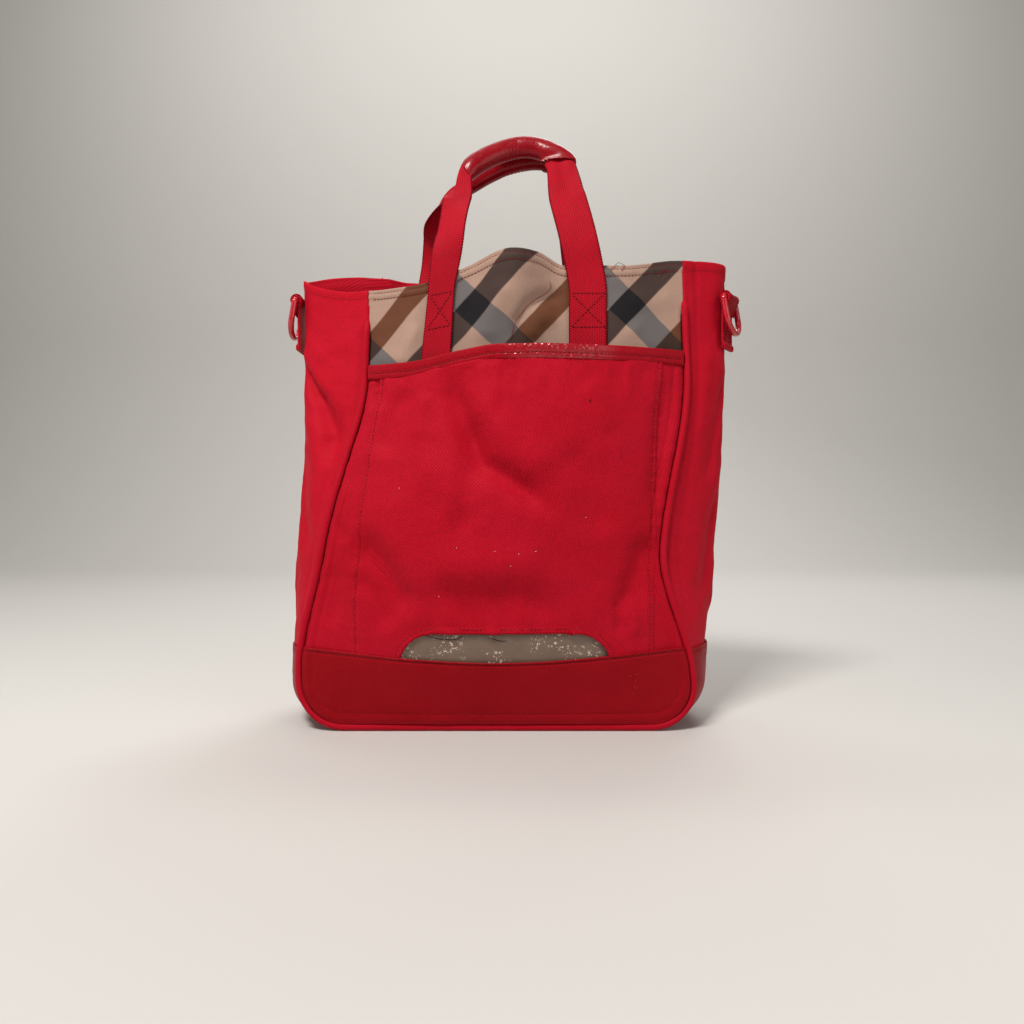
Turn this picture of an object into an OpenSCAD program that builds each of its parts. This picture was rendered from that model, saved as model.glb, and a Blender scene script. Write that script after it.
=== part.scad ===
// Soft tote bag with a boxed side strip, a front slip pocket, two webbing
// handles with leather grips and a plastic ring on each side fold.
// Millimetres, +Z up, the front faces -Y, origin under the middle of the base.

/* [Body] */
// Height of the hem above the floor
body_h = 338; // [310:1:380]
// Width across the side folds at the base
side_w = 315; // [305:1:340]
// Width across the side folds at the hem
side_top_w = 322; // [305:1:345]
// Width of the front and back panels at the foot, seam to seam
panel_base_w = 282; // [270:1:295]
// Width of the front and back panels at the hem, seam to seam
panel_top_w = 229; // [215:1:250]
// Depth of the base between the front and back seams
base_d = 90; // [80:1:110]
// Depth of the mouth between the seams at the hem
mouth_d = 62; // [54:1:80]
// Radius of the rounded lower corners
corner_r = 32; // [24:1:40]
// Thickness of the twill cloth
cloth_t = 1.2; // [0.8:0.1:1.5]
// Thickness of the lining cloth
lining_t = 0.6; // [0.5:0.1:1]
// Clearance between two sewn layers
layer_gap = 0.3; // [0.25:0.05:0.5]

/* [Drape] */
// How far the pocket swells out of the line between the seams
front_bulge = 29; // [22:1:34]
// How far the back swells
back_bulge = 14; // [12:1:24]
// How far the strap ends stand in front of the seam line at the hem
strap_in = 11; // [6:1:12]
// How far the front hem puffs out between the straps
hem_hump = 18; // [0:1:22]
// How far the back hem puffs out between the straps
back_hump = 4.5; // [0:0.5:8]
// Sideways drift of the side folds at the hem
side_lean = 12; // [0:1:16]
// Sideways drift of the front and back panels at the hem
panel_lean = 20; // [8:1:22]
// Sideways drift of the panels at the waist, the other way
waist_lean = 5; // [0:1:8]
// How far the left front corner of the hem hangs down
corner_drop = 22; // [0:1:26]
// How far the hem dips at the right strap
strap_dip = 7; // [0:1:10]

/* [Base] */
// Height of the leather base at the corners
leather_h = 58; // [50:1:70]
// How far the top edge of the leather dips in the middle
leather_dip = 7; // [0:0.5:10]
// Thickness of the base leather
leather_t = 1.6; // [1.2:0.1:2]
// Thickness of the stiff board in the base
board_t = 2.5; // [2:0.5:4]
// Diameter of the piping
piping_d = 5; // [4:0.5:6]

/* [Pocket] */
// Height of the upper edge of the pocket cloth
pocket_h = 262; // [240:1:268]
// Height of the leather binding over that edge
binding_h = 9; // [7:1:12]
// How far the strap ends reach down behind that edge
strap_tuck = 22; // [12:1:30]
// Width of the window at its foot
window_w = 146; // [120:1:170]
// Height of the window above the leather in the middle
window_h = 20; // [15:1:25]
// Width of the window's curved shoulder
window_r = 26; // [16:1:34]
// Thickness of the window's coated film
film_t = 0.5; // [0.4:0.1:0.8]
// Middle of the window, to the right of the base's middle
window_x = 5; // [-8:1:12]

/* [Handles] */
// Width of the webbing
webbing_w = 28; // [24:1:30]
// Thickness of the webbing
webbing_t = 1.4; // [1.2:0.1:2]
// Distance between the legs of the front handle, centre to centre
front_handle_w = 106; // [96:1:112]
// Distance between the legs of the rear handle
rear_handle_w = 116; // [96:1:120]
// Middle of the front handle, to the right of the base's middle
front_handle_x = 13; // [8:1:18]
// Middle of the rear handle
rear_handle_x = 7; // [2:1:14]
// How far below the hem the legs leave their stitching
hinge_drop = 26; // [20:1:40]
// Rise of the front grip's middle line above the stitching
handle_rise = 119; // [105:1:140]
// How much lower the rear grip lies
rear_sink = 7; // [0:1:12]
// Space between the two grips
grip_space = 3; // [1:0.5:8]
// Size of the grip across the handle's plane
grip_t = 12; // [11:0.5:14]
// Size of the grip in the handle's plane
grip_w = 16; // [15:0.5:18]
// Thickness of the grip leather
grip_skin = 1.2; // [1:0.1:1.6]

/* [Rings] */
// Thickness of the ring
ring_d = 4.6; // [4:0.2:5.4]
// Clear width inside the ring on each side of the tab
tab_side = 0.5; // [0.4:0.1:2]
// Height of the ring over all
ring_h = 31; // [28:1:36]
// How far below the hem the ring's bar lies
ring_drop = 23; // [18:1:40]
// Width of the tab that holds the ring
tab_w = 20; // [16:1:20]
// Length of the tab below the bar
tab_h = 38; // [36:1:46]
// Running clearance of the bar in its loop
ring_play = 0.3; // [0.25:0.05:0.5]
// How far the ring leans out from the tab
ring_tilt = 10; // [8:1:20]

/* [Hidden] */

// Heights that the drape follows
drape_h = pocket_h;                // the swell is full from here up
swell_p = 2.5;                     // how early it fills out
waist_h = 110;                     // the panels drift left below and right above
taper_h = 150;                     // height over which they drift back
flare_h = 40;                      // the foot keeps its full width up to here
flare_run = 90;                    // and narrows over this height
neck_h = 180;                      // height over which the depth narrows
wall_h0 = 130;                     // the wall parts from the pocket from here
wall_h1 = pocket_h - strap_tuck;   // and is pulled in fully from here
drop_h = 200;                      // the hem's dips fade out down to here
fold_p = 2.2;                      // roundness of the side folds
facing_h = 28;                     // height of the facing inside the mouth
check_tuck = 20;                   // the check cloth starts this far below the pocket's edge
check_h = pocket_h - check_tuck;
taper_share = 0.42;                // share of the foot's extra width that tapers evenly

piping_r = piping_d / 2;
seam_z = piping_r + 0.1;           // height of the seam line along the base
edge_gap = piping_r + 0.25;        // from the seam line to the cut edges
strip_z = 0.3;                     // underside of the side strip's corner
wall_off = -2 * layer_gap - film_t;  // outer face of the wall, behind the window's film
hinge_h = body_h - hinge_drop;
ring_z = body_h - ring_drop;
ring_in_w = tab_w + 2 * tab_side;
land_edge = 5;                     // flat cloth on each side of a strap
hump_foot = 0.25;                  // share of the hem's puff that is left at the pocket
floor_z = leather_t + layer_gap + board_t + layer_gap;

function ss(t) = let (c = min(1, max(0, t))) c * c * (3 - 2 * c);
function unit(v) = v / norm(v);

// ---- outline of the front and back panels --------------------------------
function panel_mid(z) =
    -waist_lean * ss(z / waist_h) + (panel_lean + waist_lean) * ss((z - waist_h) / taper_h);
function panel_full(z) =
    (panel_top_w + (panel_base_w - panel_top_w)
        * (taper_share * (1 - z / body_h)
            + (1 - taper_share) * (1 - ss((z - flare_h) / flare_run)))) / 2;
// half width at z, with the cut edge d inside the seam line
function panel_half(z, d) =
    let (up = seam_z + corner_r - z)
    up <= 0 ? panel_full(z) - d
        : panel_full(z) - corner_r + sqrt(max(0, pow(corner_r - d, 2) - up * up));
function seam_depth(z) =
    base_d / 2 - (base_d - mouth_d) / 2 * ss((z - waist_h) / neck_h);

// ---- swell of the cloth in front of the seam line ---------------------------
function swell(x, z, bulge) =
    let (q = (x - panel_mid(z)) / panel_half(z, 0))
    bulge * (1 - pow(1 - min(1, z / drape_h), swell_p)) * max(0, 1 - q * q);
// flat lands under the strap ends, with the hem puffed out between them
function lands(x, z, mid, w, hump) =
    let (land = webbing_w / 2 + land_edge,
         left = panel_mid(z) - panel_half(z, 0),
         right = panel_mid(z) + panel_half(z, 0),
         edge = x < mid ? (x - left) / (mid - w / 2 - land - left)
                        : (right - x) / (right - mid - w / 2 - land),
         inner = max(1, w / 2 - land))
    strap_in * ss(edge)
        + hump * (hump_foot + (1 - hump_foot) * ss((z - pocket_h) / (body_h - pocket_h)))
            * ss((x - mid + inner) / inner) * ss((mid + inner - x) / inner);
function front_wall_d(x, z) =
    let (m = ss((z - wall_h0) / (wall_h1 - wall_h0)))
    seam_depth(z) + (1 - m) * swell(x, z, front_bulge)
        + m * lands(x, z, front_handle_x, front_handle_w, hem_hump);
function pocket_d(x, z) = seam_depth(z) + swell(x, z, front_bulge);
function back_wall_d(x, z) =
    let (m = ss((z - wall_h0) / (wall_h1 - wall_h0)))
    seam_depth(z) + (1 - m) * swell(x, z, back_bulge)
        + m * lands(x, z, rear_handle_x, rear_handle_w, back_hump);

// ---- how far the hem hangs below its full height -------------------------
function fade(z) = max(0, (z - drop_h) / (body_h - drop_h));
function left_drop(u) = corner_drop * ss((-u - 0.1) / 0.7);
function right_dip(u) = strap_dip * ss((u - 0.06) / 0.2) * (1 - ss((u - 0.6) / 0.4));

// ---- the side strip --------------------------------------------------------
// x of the strip at height z; v runs from the front seam (-1) to the back seam (1)
function strip_x(side, v, z) =
    let (round_out = 1 - pow(abs(v), fold_p),
         seam = panel_mid(z) + side * panel_full(z),
         fold = side_lean * ss(z / drape_h)
             + side * (side_w + (side_top_w - side_w) * z / body_h) / 2,
         up = strip_z + corner_r - z,
         full = seam + (fold - seam) * round_out)
    up <= 0 ? full
        : let (foot = panel_mid(z) + side * (panel_full(z) - corner_r))
          foot + (full - foot) * sqrt(max(0, 1 - up * up / (corner_r * corner_r)));
function strip_y(v, z) = v * (seam_depth(z) - edge_gap);
// outward normal in plan
function strip_n(side, v, z) =
    let (e = 0.02,
         dx = strip_x(side, v + e, z) - strip_x(side, v - e, z),
         dy = strip_y(v + e, z) - strip_y(v - e, z))
    unit([side * dy, -side * dx, 0]);
function strip_drop(side, v, z) =
    side < 0 ? corner_drop * fade(z) * ss(-v) : 0;
function strip_pt(side, v, z, off) =
    [strip_x(side, v, z), strip_y(v, z), z - strip_drop(side, v, z)]
        + off * strip_n(side, v, z);

// ---- closed slabs between two grids ----------------------------------------
// P(i, j, k): point in column i and row j, on the back (k = 0) or the front (k = 1)
module slab(P, ni, nj, flip = false) {
    layer = (ni + 1) * (nj + 1);
    pts = [for (k = [0, 1], j = [0:nj], i = [0:ni]) P(i, j, k)];
    function id(i, j, k) = k * layer + j * (ni + 1) + i;
    quads = concat(
        [for (j = [0:nj - 1], i = [0:ni - 1])
            [id(i, j, 1), id(i, j + 1, 1), id(i + 1, j + 1, 1), id(i + 1, j, 1)]],
        [for (j = [0:nj - 1], i = [0:ni - 1])
            [id(i, j, 0), id(i + 1, j, 0), id(i + 1, j + 1, 0), id(i, j + 1, 0)]],
        [for (i = [0:ni - 1]) [id(i, 0, 1), id(i + 1, 0, 1), id(i + 1, 0, 0), id(i, 0, 0)]],
        [for (i = [0:ni - 1]) [id(i, nj, 0), id(i + 1, nj, 0), id(i + 1, nj, 1), id(i, nj, 1)]],
        [for (j = [0:nj - 1]) [id(0, j, 0), id(0, j + 1, 0), id(0, j + 1, 1), id(0, j, 1)]],
        [for (j = [0:nj - 1]) [id(ni, j, 1), id(ni, j + 1, 1), id(ni, j + 1, 0), id(ni, j, 0)]]);
    faces = [for (q = quads, h = [0, 1])
        let (t = h == 0 ? [q[0], q[1], q[2]] : [q[0], q[2], q[3]])
        flip ? [t[2], t[1], t[0]] : t];
    polyhedron(pts, faces);
}

function spread(a, b, n) = [for (i = [0:n]) a + (b - a) * i / n];
// rows from a to b on heights that all the cloth shares, so that layers stay clear
corner_z = seam_z + corner_r;
level_n = 14;
least_row = 2;
function levels(a, b) = concat([a],
    [for (z = spread(corner_z, body_h, level_n)) if (z > a + least_row && z < b - least_row) z], [b]);
// rows that follow the rounded corner and then climb to z
function corner_rows(z) = concat(
    [for (b = [0:15:75]) corner_z - (corner_r - edge_gap) * cos(b)], levels(corner_z, z));

// cloth of the front (side -1) or back (side 1) between rows; D gives its depth and
// H its height from the column and the row
module panel(side, rows, cols, D, H, off, t) {
    slab(function(i, j, k)
            let (z = rows[j], u = cols[i], x = panel_mid(z) + u * panel_half(z, edge_gap))
            [x, side * (D(x, z) + off + k * t), H(u, z)],
        len(cols) - 1, len(rows) - 1, side > 0);
}

// ---- front ----------------------------------------------------------------
wall_cols = spread(-1, 1, 22);
function front_hem(u, z) = z - fade(z) * (left_drop(u) + right_dip(u));

module front_lower_wall() {
    color("firebrick")
        panel(-1, corner_rows(check_h), wall_cols, function(x, z) front_wall_d(x, z),
            function(u, z) front_hem(u, z), wall_off - cloth_t, cloth_t);
}

module front_check_panel() {
    color("tan")
        panel(-1, levels(check_h + layer_gap, body_h), wall_cols,
            function(x, z) front_wall_d(x, z), function(u, z) front_hem(u, z),
            wall_off - cloth_t, cloth_t);
}

function leather_edge(u, z) = z - leather_dip * (1 - u * u) * pow(z / leather_h, 2);
function pocket_edge(u, z) =
    z - fade(z) * left_drop(u)
        - leather_dip * (1 - u * u) * max(0, 1 - (z - leather_h) / (wall_h0 - leather_h));

// outline of the window in x and z, grown by g: an arch on a straight foot that the
// leather's edge hides
window_tuck = 2;
window_lap = 4;
module window_shape(g) {
    foot = leather_h - leather_dip - window_tuck - g;
    rise = window_h + window_tuck + 2 * g;
    half = window_w / 2 + g;
    function arch(a) = [half - window_r * (1 - cos(a)), foot + rise * sin(a)];
    polygon(concat(
        [for (a = [0:15:90]) [window_x + arch(a)[0], arch(a)[1]]],
        [for (a = [90:-15:0]) [window_x - arch(a)[0], arch(a)[1]]]));
}
module window_prism(g) {
    rotate([90, 0, 0]) linear_extrude(height = base_d + front_bulge) window_shape(g);
}

module front_pocket_panel() {
    color("crimson") difference() {
        panel(-1, levels(leather_h + layer_gap, pocket_h), spread(-1, 1, 14),
            function(x, z) pocket_d(x, z), function(u, z) pocket_edge(u, z), 0, cloth_t);
        window_prism(0);
    }
}

module window_patch() {
    color("rosybrown") intersection() {
        panel(-1, levels(leather_h + layer_gap, wall_h0), spread(-1, 1, 14),
            function(x, z) pocket_d(x, z), function(u, z) pocket_edge(u, z),
            -layer_gap - film_t, film_t);
        window_prism(window_lap);
    }
}

module pocket_binding() {
    color("darkred")
        panel(-1, [pocket_h + layer_gap, pocket_h + binding_h], spread(-1, 1, 20),
            function(x, z) pocket_d(x, z), function(u, z) pocket_edge(u, z),
            -cloth_t / 2, cloth_t * 2);
}

module front_base_leather() {
    color("maroon")
        panel(-1, corner_rows(leather_h), spread(-1, 1, 14), function(x, z) pocket_d(x, z),
            function(u, z) leather_edge(u, z), 0, leather_t);
}

// ---- back -----------------------------------------------------------------
module back_panel() {
    color("crimson")
        panel(1, corner_rows(body_h), wall_cols, function(x, z) back_wall_d(x, z),
            function(u, z) z, -cloth_t, cloth_t);
}

module back_base_leather() {
    color("maroon")
        panel(1, corner_rows(leather_h), wall_cols, function(x, z) back_wall_d(x, z),
            function(u, z) leather_edge(u, z), layer_gap, leather_t);
}

// ---- side strip, base and lining ---------------------------------------------
module strip_side(side, rows, off, t) {
    vs = spread(-1, 1, 12);
    slab(function(i, j, k) strip_pt(side, vs[i], rows[j], off + k * t),
        len(vs) - 1, len(rows) - 1, side < 0);
}

module gusset(side) {
    color("crimson") strip_side(side, levels(leather_h + layer_gap, body_h), -cloth_t, cloth_t);
}

// the corner's own normal turns down with the strip
function corner_pt(side, v, b, off) =
    let (z = strip_z + corner_r * (1 - cos(b)),
         flat = strip_n(side, v, max(z, strip_z + corner_r)),
         n = unit([flat[0] * sin(b), flat[1] * sin(b), -cos(b)]),
         x = strip_x(side, v, z))
    [x, strip_y(v, z), z] + off * n;

module gusset_base(side) {
    vs = spread(-1, 1, 12);
    bs = [for (b = [0:15:90]) b];
    zs = levels(strip_z + corner_r + 2 * least_row, leather_h);
    color("maroon")
        slab(function(i, j, k)
                let (off = strip_z - leather_t + k * leather_t)
                j < len(bs) ? corner_pt(side, vs[i], bs[j], off)
                    : strip_pt(side, vs[i], zs[j - len(bs)], off),
            len(vs) - 1, len(bs) + len(zs) - 1, side < 0);
}

foot_half = panel_full(0) - corner_r - layer_gap;  // half length of the flat base
foot_depth = base_d - 2 * edge_gap;

module bottom_panel() {
    color("maroon") translate([-foot_half, -foot_depth / 2, 0])
        cube([2 * foot_half, foot_depth, leather_t]);
}

module base_board() {
    color("dimgray") translate([-foot_half, -foot_depth / 2, leather_t + layer_gap])
        cube([2 * foot_half, foot_depth, board_t]);
}

// point of the strip's inner face, d inside its cloth; round the corner it follows a
// circle of smaller radius
function strip_in(side, v, z, d) =
    let (up = strip_z + corner_r - z,
         p = strip_pt(side, v, max(z, strip_z + corner_r), -cloth_t - d),
         foot = panel_mid(z) + side * (panel_full(z) - corner_r),
         r = corner_r - cloth_t - d - 2 * layer_gap)
    up <= 0 ? p : [foot + (p[0] - foot) * sqrt(max(0, 1 - up * up / (r * r))), p[1], z];
// point of a closed loop round the inside at height z, d inside the cloth; it runs along
// the front, the right side, the back and the left side, and cuts the corners at the seams
front_n = 22;
side_n = 8;
half_n = front_n + side_n + 2;
corner_cut = 3;
strip_reach = 0.88;
function loop_pt(i, z, d) =
    let (k = i % half_n, front = i < half_n, way = front ? 1 : -1,
         u = way * (2 * k / front_n - 1),
         v = way * strip_reach * (2 * (k - front_n - 1) / side_n - 1),
         x = panel_mid(z) + u * panel_half(z, edge_gap + d + corner_cut),
         inset = cloth_t + d + corner_cut * pow(u, 8))
    k > front_n ? strip_in(way, v, z, d)
    : front ? [x, -(front_wall_d(x, z) + wall_off - inset), front_hem(u, z)]
    : [x, back_wall_d(x, z) - inset, z];

// open tube of cloth between rows, with a floor on its first row when floor is true
module tube(rows, d, t, floor) {
    n = 2 * half_n;
    m = len(rows);
    pts = [for (k = [0, 1], j = [0:m - 1], i = [0:n - 1])
        loop_pt(i, rows[j] + (j == 0 && floor ? k * t : 0), d + k * t)];
    function id(i, j, k) = (k * m + j) * n + i % n;
    walls = [for (j = [0:m - 2], i = [0:n - 1], k = [0, 1])
        let (q = [id(i, j, k), id(i, j + 1, k), id(i + 1, j + 1, k), id(i + 1, j, k)])
        k == 0 ? q : [q[3], q[2], q[1], q[0]]];
    rim = [for (i = [0:n - 1]) [id(i, m - 1, 0), id(i, m - 1, 1), id(i + 1, m - 1, 1),
        id(i + 1, m - 1, 0)]];
    foot = [for (i = [0:n - 1]) [id(i, 0, 1), id(i, 0, 0), id(i + 1, 0, 0), id(i + 1, 0, 1)]];
    tris = [for (q = concat(walls, rim, floor ? [] : foot), h = [0, 1])
        h == 0 ? [q[0], q[1], q[2]] : [q[0], q[2], q[3]]];
    floors = [for (k = [0, 1]) [for (i = [0:n - 1]) id(k == 0 ? i : n - 1 - i, 0, k)]];
    polyhedron(pts, concat(tris, floor ? floors : []));
}

module lining() {
    color("saddlebrown")
        tube(concat([for (h = [0, 3, 9, 18]) floor_z + h],
            levels(corner_z, body_h - facing_h - layer_gap)), layer_gap, lining_t, true);
}

module mouth_facing() {
    color("firebrick") tube(levels(body_h - facing_h, body_h), layer_gap, lining_t, false);
}

// ---- piping along the front and back seams ------------------------------------
function seam_half(side) = concat(
    [for (z = reversed(levels(corner_z, body_h))) [panel_mid(z) + side * panel_full(z), z]],
    [for (b = [75:-15:0])
        let (z = seam_z + corner_r * (1 - cos(b)))
        [panel_mid(z) + side * (panel_full(z) - corner_r + corner_r * sin(b)), z]]);
function reversed(a) = [for (i = [len(a) - 1:-1:0]) a[i]];
function seam_drop(front, p) =
    front && p[0] < 0 ? corner_drop * fade(p[1]) : 0;

module piping(front) {
    flat = concat(seam_half(-1), reversed(seam_half(1)));
    side = front ? -1 : 1;
    path = [for (p = flat) [p[0], side * (seam_depth(p[1]) + layer_gap), p[1] - seam_drop(front, p)]];
    color("red") sweep(path, function(f)
        [for (a = [0:60:300]) piping_r * [cos(a), sin(a)]], [0, 1, 0]);
}

// sweep of a section along a path; up is the side that the section keeps, and ends
// gives the directions of the first and last section
module sweep(path, section, up, ends = [undef, undef]) {
    n = len(path);
    rings = [for (i = [0:n - 1])
        let (given = i == 0 ? ends[0] : i == n - 1 ? ends[1] : undef,
             t = is_undef(given) ? unit(path[min(n - 1, i + 1)] - path[max(0, i - 1)]) : given,
             a = unit(cross(up, t)), b = cross(t, a))
        [for (s = section(i / (n - 1))) path[i] + s[0] * a + s[1] * b]];
    m = len(rings[0]);
    polyhedron([for (r = rings) each r],
        concat([for (i = [0:n - 2], j = [0:m - 1], h = [0, 1])
                let (p = i * m + j, q = i * m + (j + 1) % m)
                h == 0 ? [p, p + m, q + m] : [p, q + m, q]],
            [[for (j = [0:m - 1]) j]],
            [[for (j = [m - 1:-1:0]) (n - 1) * m + j]]));
}

// ---- strap ends and handles --------------------------------------------------
function handle_mid(front) = front ? front_handle_x : rear_handle_x;
function handle_w(front) = front ? front_handle_w : rear_handle_w;
function wall_d(front, x, z) =
    front ? front_wall_d(x, z) + wall_off : back_wall_d(x, z);
function hinge_d(front) =
    wall_d(front, handle_mid(front) + handle_w(front) / 2, hinge_h) + layer_gap + webbing_t;

strap_rows = 5;
module strap_end(front, leg) {
    mid = handle_mid(front) + leg * handle_w(front) / 2;
    side = front ? -1 : 1;
    rows = spread(pocket_h - strap_tuck, hinge_h - layer_gap / 2, strap_rows);
    color("crimson")
        slab(function(i, j, k)
                let (x = mid + (i - 1) * webbing_w / 2)
                [x, side * (wall_d(front, x, rows[j]) + layer_gap + k * webbing_t), rows[j]],
            2, strap_rows, !front);
}

// middle line of the handle, as shares of half its width and of its rise
handle_knots = [[-0.97, -0.11], [-1, 0], [-0.97, 0.11], [-0.89, 0.33], [-0.79, 0.62],
    [-0.69, 0.79], [-0.38, 0.92], [0.04, 1], [0.4, 0.985], [0.64, 0.88], [0.73, 0.62],
    [0.87, 0.33], [0.97, 0.11], [1, 0], [0.97, -0.11]];
grip_from = 4;                     // knots between which the grip lies
grip_to = 8;
knot_steps = 4;
function curve(k, t) =
    let (a = handle_knots[k], b = handle_knots[k + 1], c = handle_knots[k + 2],
         d = handle_knots[k + 3])
    b + 0.5 * t * (c - a + t * (2 * a - 5 * b + 4 * c - d + t * (3 * (b - c) + d - a)));
handle_steps = (len(handle_knots) - 3) * knot_steps;
function knot_at(i) = i >= handle_steps ? curve(len(handle_knots) - 4, 1)
    : curve(floor(i / knot_steps), (i % knot_steps) / knot_steps);

// point of a handle's middle line; the legs stand on the cloth up to the hem and then
// bend like a held strip to the mouth's middle plane
function handle_pt(front, i) =
    let (f = knot_at(i), rise = handle_rise - (front ? 0 : rear_sink),
         z = hinge_h + f[1] * rise,
         t = max(0, (z - body_h) / (hinge_h + rise - body_h)),
         root = hinge_d(front) - webbing_t / 2,
         crown = (grip_t + grip_space) / 2)
    [handle_mid(front) + f[0] * handle_w(front) / 2,
     (front ? -1 : 1) * (root + (crown - root) * t * t * (3 - t) / 2),
     z + (i == 0 || i == handle_steps ? layer_gap / 2 : 0)];
function handle_path(front, a, b) = [for (i = [a:b]) handle_pt(front, i)];

// half sizes of the grip's bore, and of the folded webbing whose corners lie in it
bore_w = grip_w / 2 - grip_skin;
bore_t = grip_t / 2 - grip_skin;
fold_corner = 35;
core = [(bore_w - 2 * layer_gap) * cos(fold_corner), (bore_t - 2 * layer_gap) * sin(fold_corner)];
// the webbing folds in half where the grip holds it
function folded(i) =
    let (k = i / knot_steps)
    ss((k - grip_from + 1.4) / 1.2) * ss((grip_to + 1.4 - k) / 1.2);
function web_half(i) =
    let (m = folded(i)) [webbing_w / 2, webbing_t / 2] * (1 - m) + core * m;

module handle_webbing(front) {
    color("crimson") sweep(handle_path(front, 0, handle_steps), function(f)
        let (h = web_half(round(f * handle_steps)))
        [[h[0], h[1]], [-h[0], h[1]], [-h[0], -h[1]], [h[0], -h[1]]],
        [0, 1, 0], [[0, 0, 1], [0, 0, -1]]);
}

module grip(front) {
    first = grip_from * knot_steps;
    last = grip_to * knot_steps;
    function oval(w, t) = [for (a = [15:30:345]) [w * cos(a), t * sin(a)]];
    color("darkred") difference() {
        sweep(handle_path(front, first, last), function(f) oval(grip_w / 2, grip_t / 2), [0, 1, 0]);
        sweep(handle_path(front, first - 1, last + 1), function(f) oval(bore_w, bore_t), [0, 1, 0]);
    }
}

// ---- rings and their tabs ----------------------------------------------------
function tab_v(side) = side < 0 ? 0 : -0.3;   // place on the side fold
bar_r = ring_d / 2;
ply = webbing_t;
bar_off = ply + ring_play + bar_r;            // bar's distance from the fold
loop_r = bar_r + ring_play + ply;
tab_fold = 1.2;                               // thickness of the fold at the tab's lower end
tab_fold_h = 5;

// local frame: +X out of the fold, Z up from the bar
module at_fold(side) {
    v = tab_v(side);
    n = strip_n(side, v, ring_z);
    p = strip_pt(side, v, ring_z, layer_gap);
    translate([p[0], p[1], ring_z]) rotate([0, 0, atan2(n[1], n[0])]) children();
}

module ring_tab(side) {
    hem = 2 * ply + tab_fold;
    outline = concat([[0, -tab_h], [0, 0]],
        [for (a = [180:-15:0]) [bar_off + loop_r * cos(a), loop_r * sin(a)]],
        [[bar_off + 0.72 * loop_r, -1.1 * loop_r], [1.5 * hem, -2.4 * loop_r],
         [2 * ply, -3 * loop_r], [2 * ply, tab_fold_h + 1 - tab_h], [hem, tab_fold_h - tab_h],
         [hem, -tab_h]]);
    color("crimson") at_fold(side) difference() {
        rotate([90, 0, 0]) translate([0, 0, -tab_w / 2]) linear_extrude(height = tab_w)
            polygon(outline);
        translate([bar_off, tab_w, 0]) rotate([90, 0, 0])
            cylinder(h = 2 * tab_w, r = bar_r + ring_play, $fn = 48);
    }
}

module ring(side) {
    arc_r = ring_in_w / 2 + bar_r;
    leg = ring_h - ring_d - arc_r;
    color("red") at_fold(side) translate([bar_off, 0, 0]) rotate([0, -ring_tilt, 0]) {
        translate([0, arc_r, 0]) rotate([90, 0, 0]) cylinder(h = 2 * arc_r, r = bar_r, $fn = 48);
        for (s = [-1, 1]) translate([0, s * arc_r, -leg]) {
            cylinder(h = leg, r = bar_r, $fn = 48);
            translate([0, 0, leg]) sphere(r = bar_r, $fn = 48);
        }
        translate([0, 0, -leg]) rotate([0, 90, 0]) rotate([0, 0, -90])
            rotate_extrude(angle = 180, $fn = 96) translate([arc_r, 0]) circle(r = bar_r, $fn = 48);
    }
}

front_lower_wall();
front_check_panel();
front_pocket_panel();
pocket_binding();
window_patch();
front_base_leather();
back_panel();
back_base_leather();
gusset(-1);  // gusset_left
gusset(1);  // gusset_right
gusset_base(-1);  // gusset_base_left
gusset_base(1);  // gusset_base_right
bottom_panel();
base_board();
lining();
mouth_facing();
piping(true);  // front_piping
piping(false);  // back_piping
strap_end(true, -1);  // front_strap_end_left
strap_end(true, 1);  // front_strap_end_right
strap_end(false, -1);  // rear_strap_end_left
strap_end(false, 1);  // rear_strap_end_right
ring_tab(-1);  // ring_tab_left
ring_tab(1);  // ring_tab_right
ring(-1);  // ring_left
ring(1);  // ring_right
handle_webbing(true);  // front_handle_webbing
grip(true);  // front_grip
handle_webbing(false);  // rear_handle_webbing
grip(false);  // rear_grip
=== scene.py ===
import bisect
import math

import bmesh
import bpy
from mathutils import Matrix, Vector, noise


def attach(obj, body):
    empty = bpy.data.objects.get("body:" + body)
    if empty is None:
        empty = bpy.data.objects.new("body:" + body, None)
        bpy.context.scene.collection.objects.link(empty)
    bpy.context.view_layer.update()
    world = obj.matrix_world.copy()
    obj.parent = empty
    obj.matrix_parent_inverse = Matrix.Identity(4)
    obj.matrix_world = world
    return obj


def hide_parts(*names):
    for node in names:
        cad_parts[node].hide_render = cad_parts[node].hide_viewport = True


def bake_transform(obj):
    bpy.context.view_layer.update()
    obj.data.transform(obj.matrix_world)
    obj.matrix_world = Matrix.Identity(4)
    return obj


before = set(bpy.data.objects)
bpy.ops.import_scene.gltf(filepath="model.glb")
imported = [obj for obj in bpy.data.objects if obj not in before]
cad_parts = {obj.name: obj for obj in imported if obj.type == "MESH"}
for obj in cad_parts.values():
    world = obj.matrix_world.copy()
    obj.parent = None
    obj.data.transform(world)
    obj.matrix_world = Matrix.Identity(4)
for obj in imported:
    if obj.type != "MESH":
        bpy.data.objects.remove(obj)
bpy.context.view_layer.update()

# ---- objects and shaders -------------------------------------------------------------
# What every piece below is made with: an object of a finished mesh, its place on a body,
# and the nodes of its material.
MM = 0.001


def link(name, data, place=(0, 0, 0), turn=(0, 0, 0)):
    made = bpy.data.objects.new(name, data)
    made.location, made.rotation_euler = place, turn
    bpy.context.scene.collection.objects.link(made)
    return made


def put(name, material, bm, unit=1.0):
    """A smooth object of a finished mesh, which is drawn in units of unit metres."""
    bmesh.ops.scale(bm, vec=(unit, unit, unit), verts=bm.verts)
    for face in bm.faces:
        face.smooth = True
    mesh = bpy.data.meshes.new(name)
    bm.to_mesh(mesh)
    bm.free()
    mesh.materials.append(material)
    return link(name, mesh)


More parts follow.
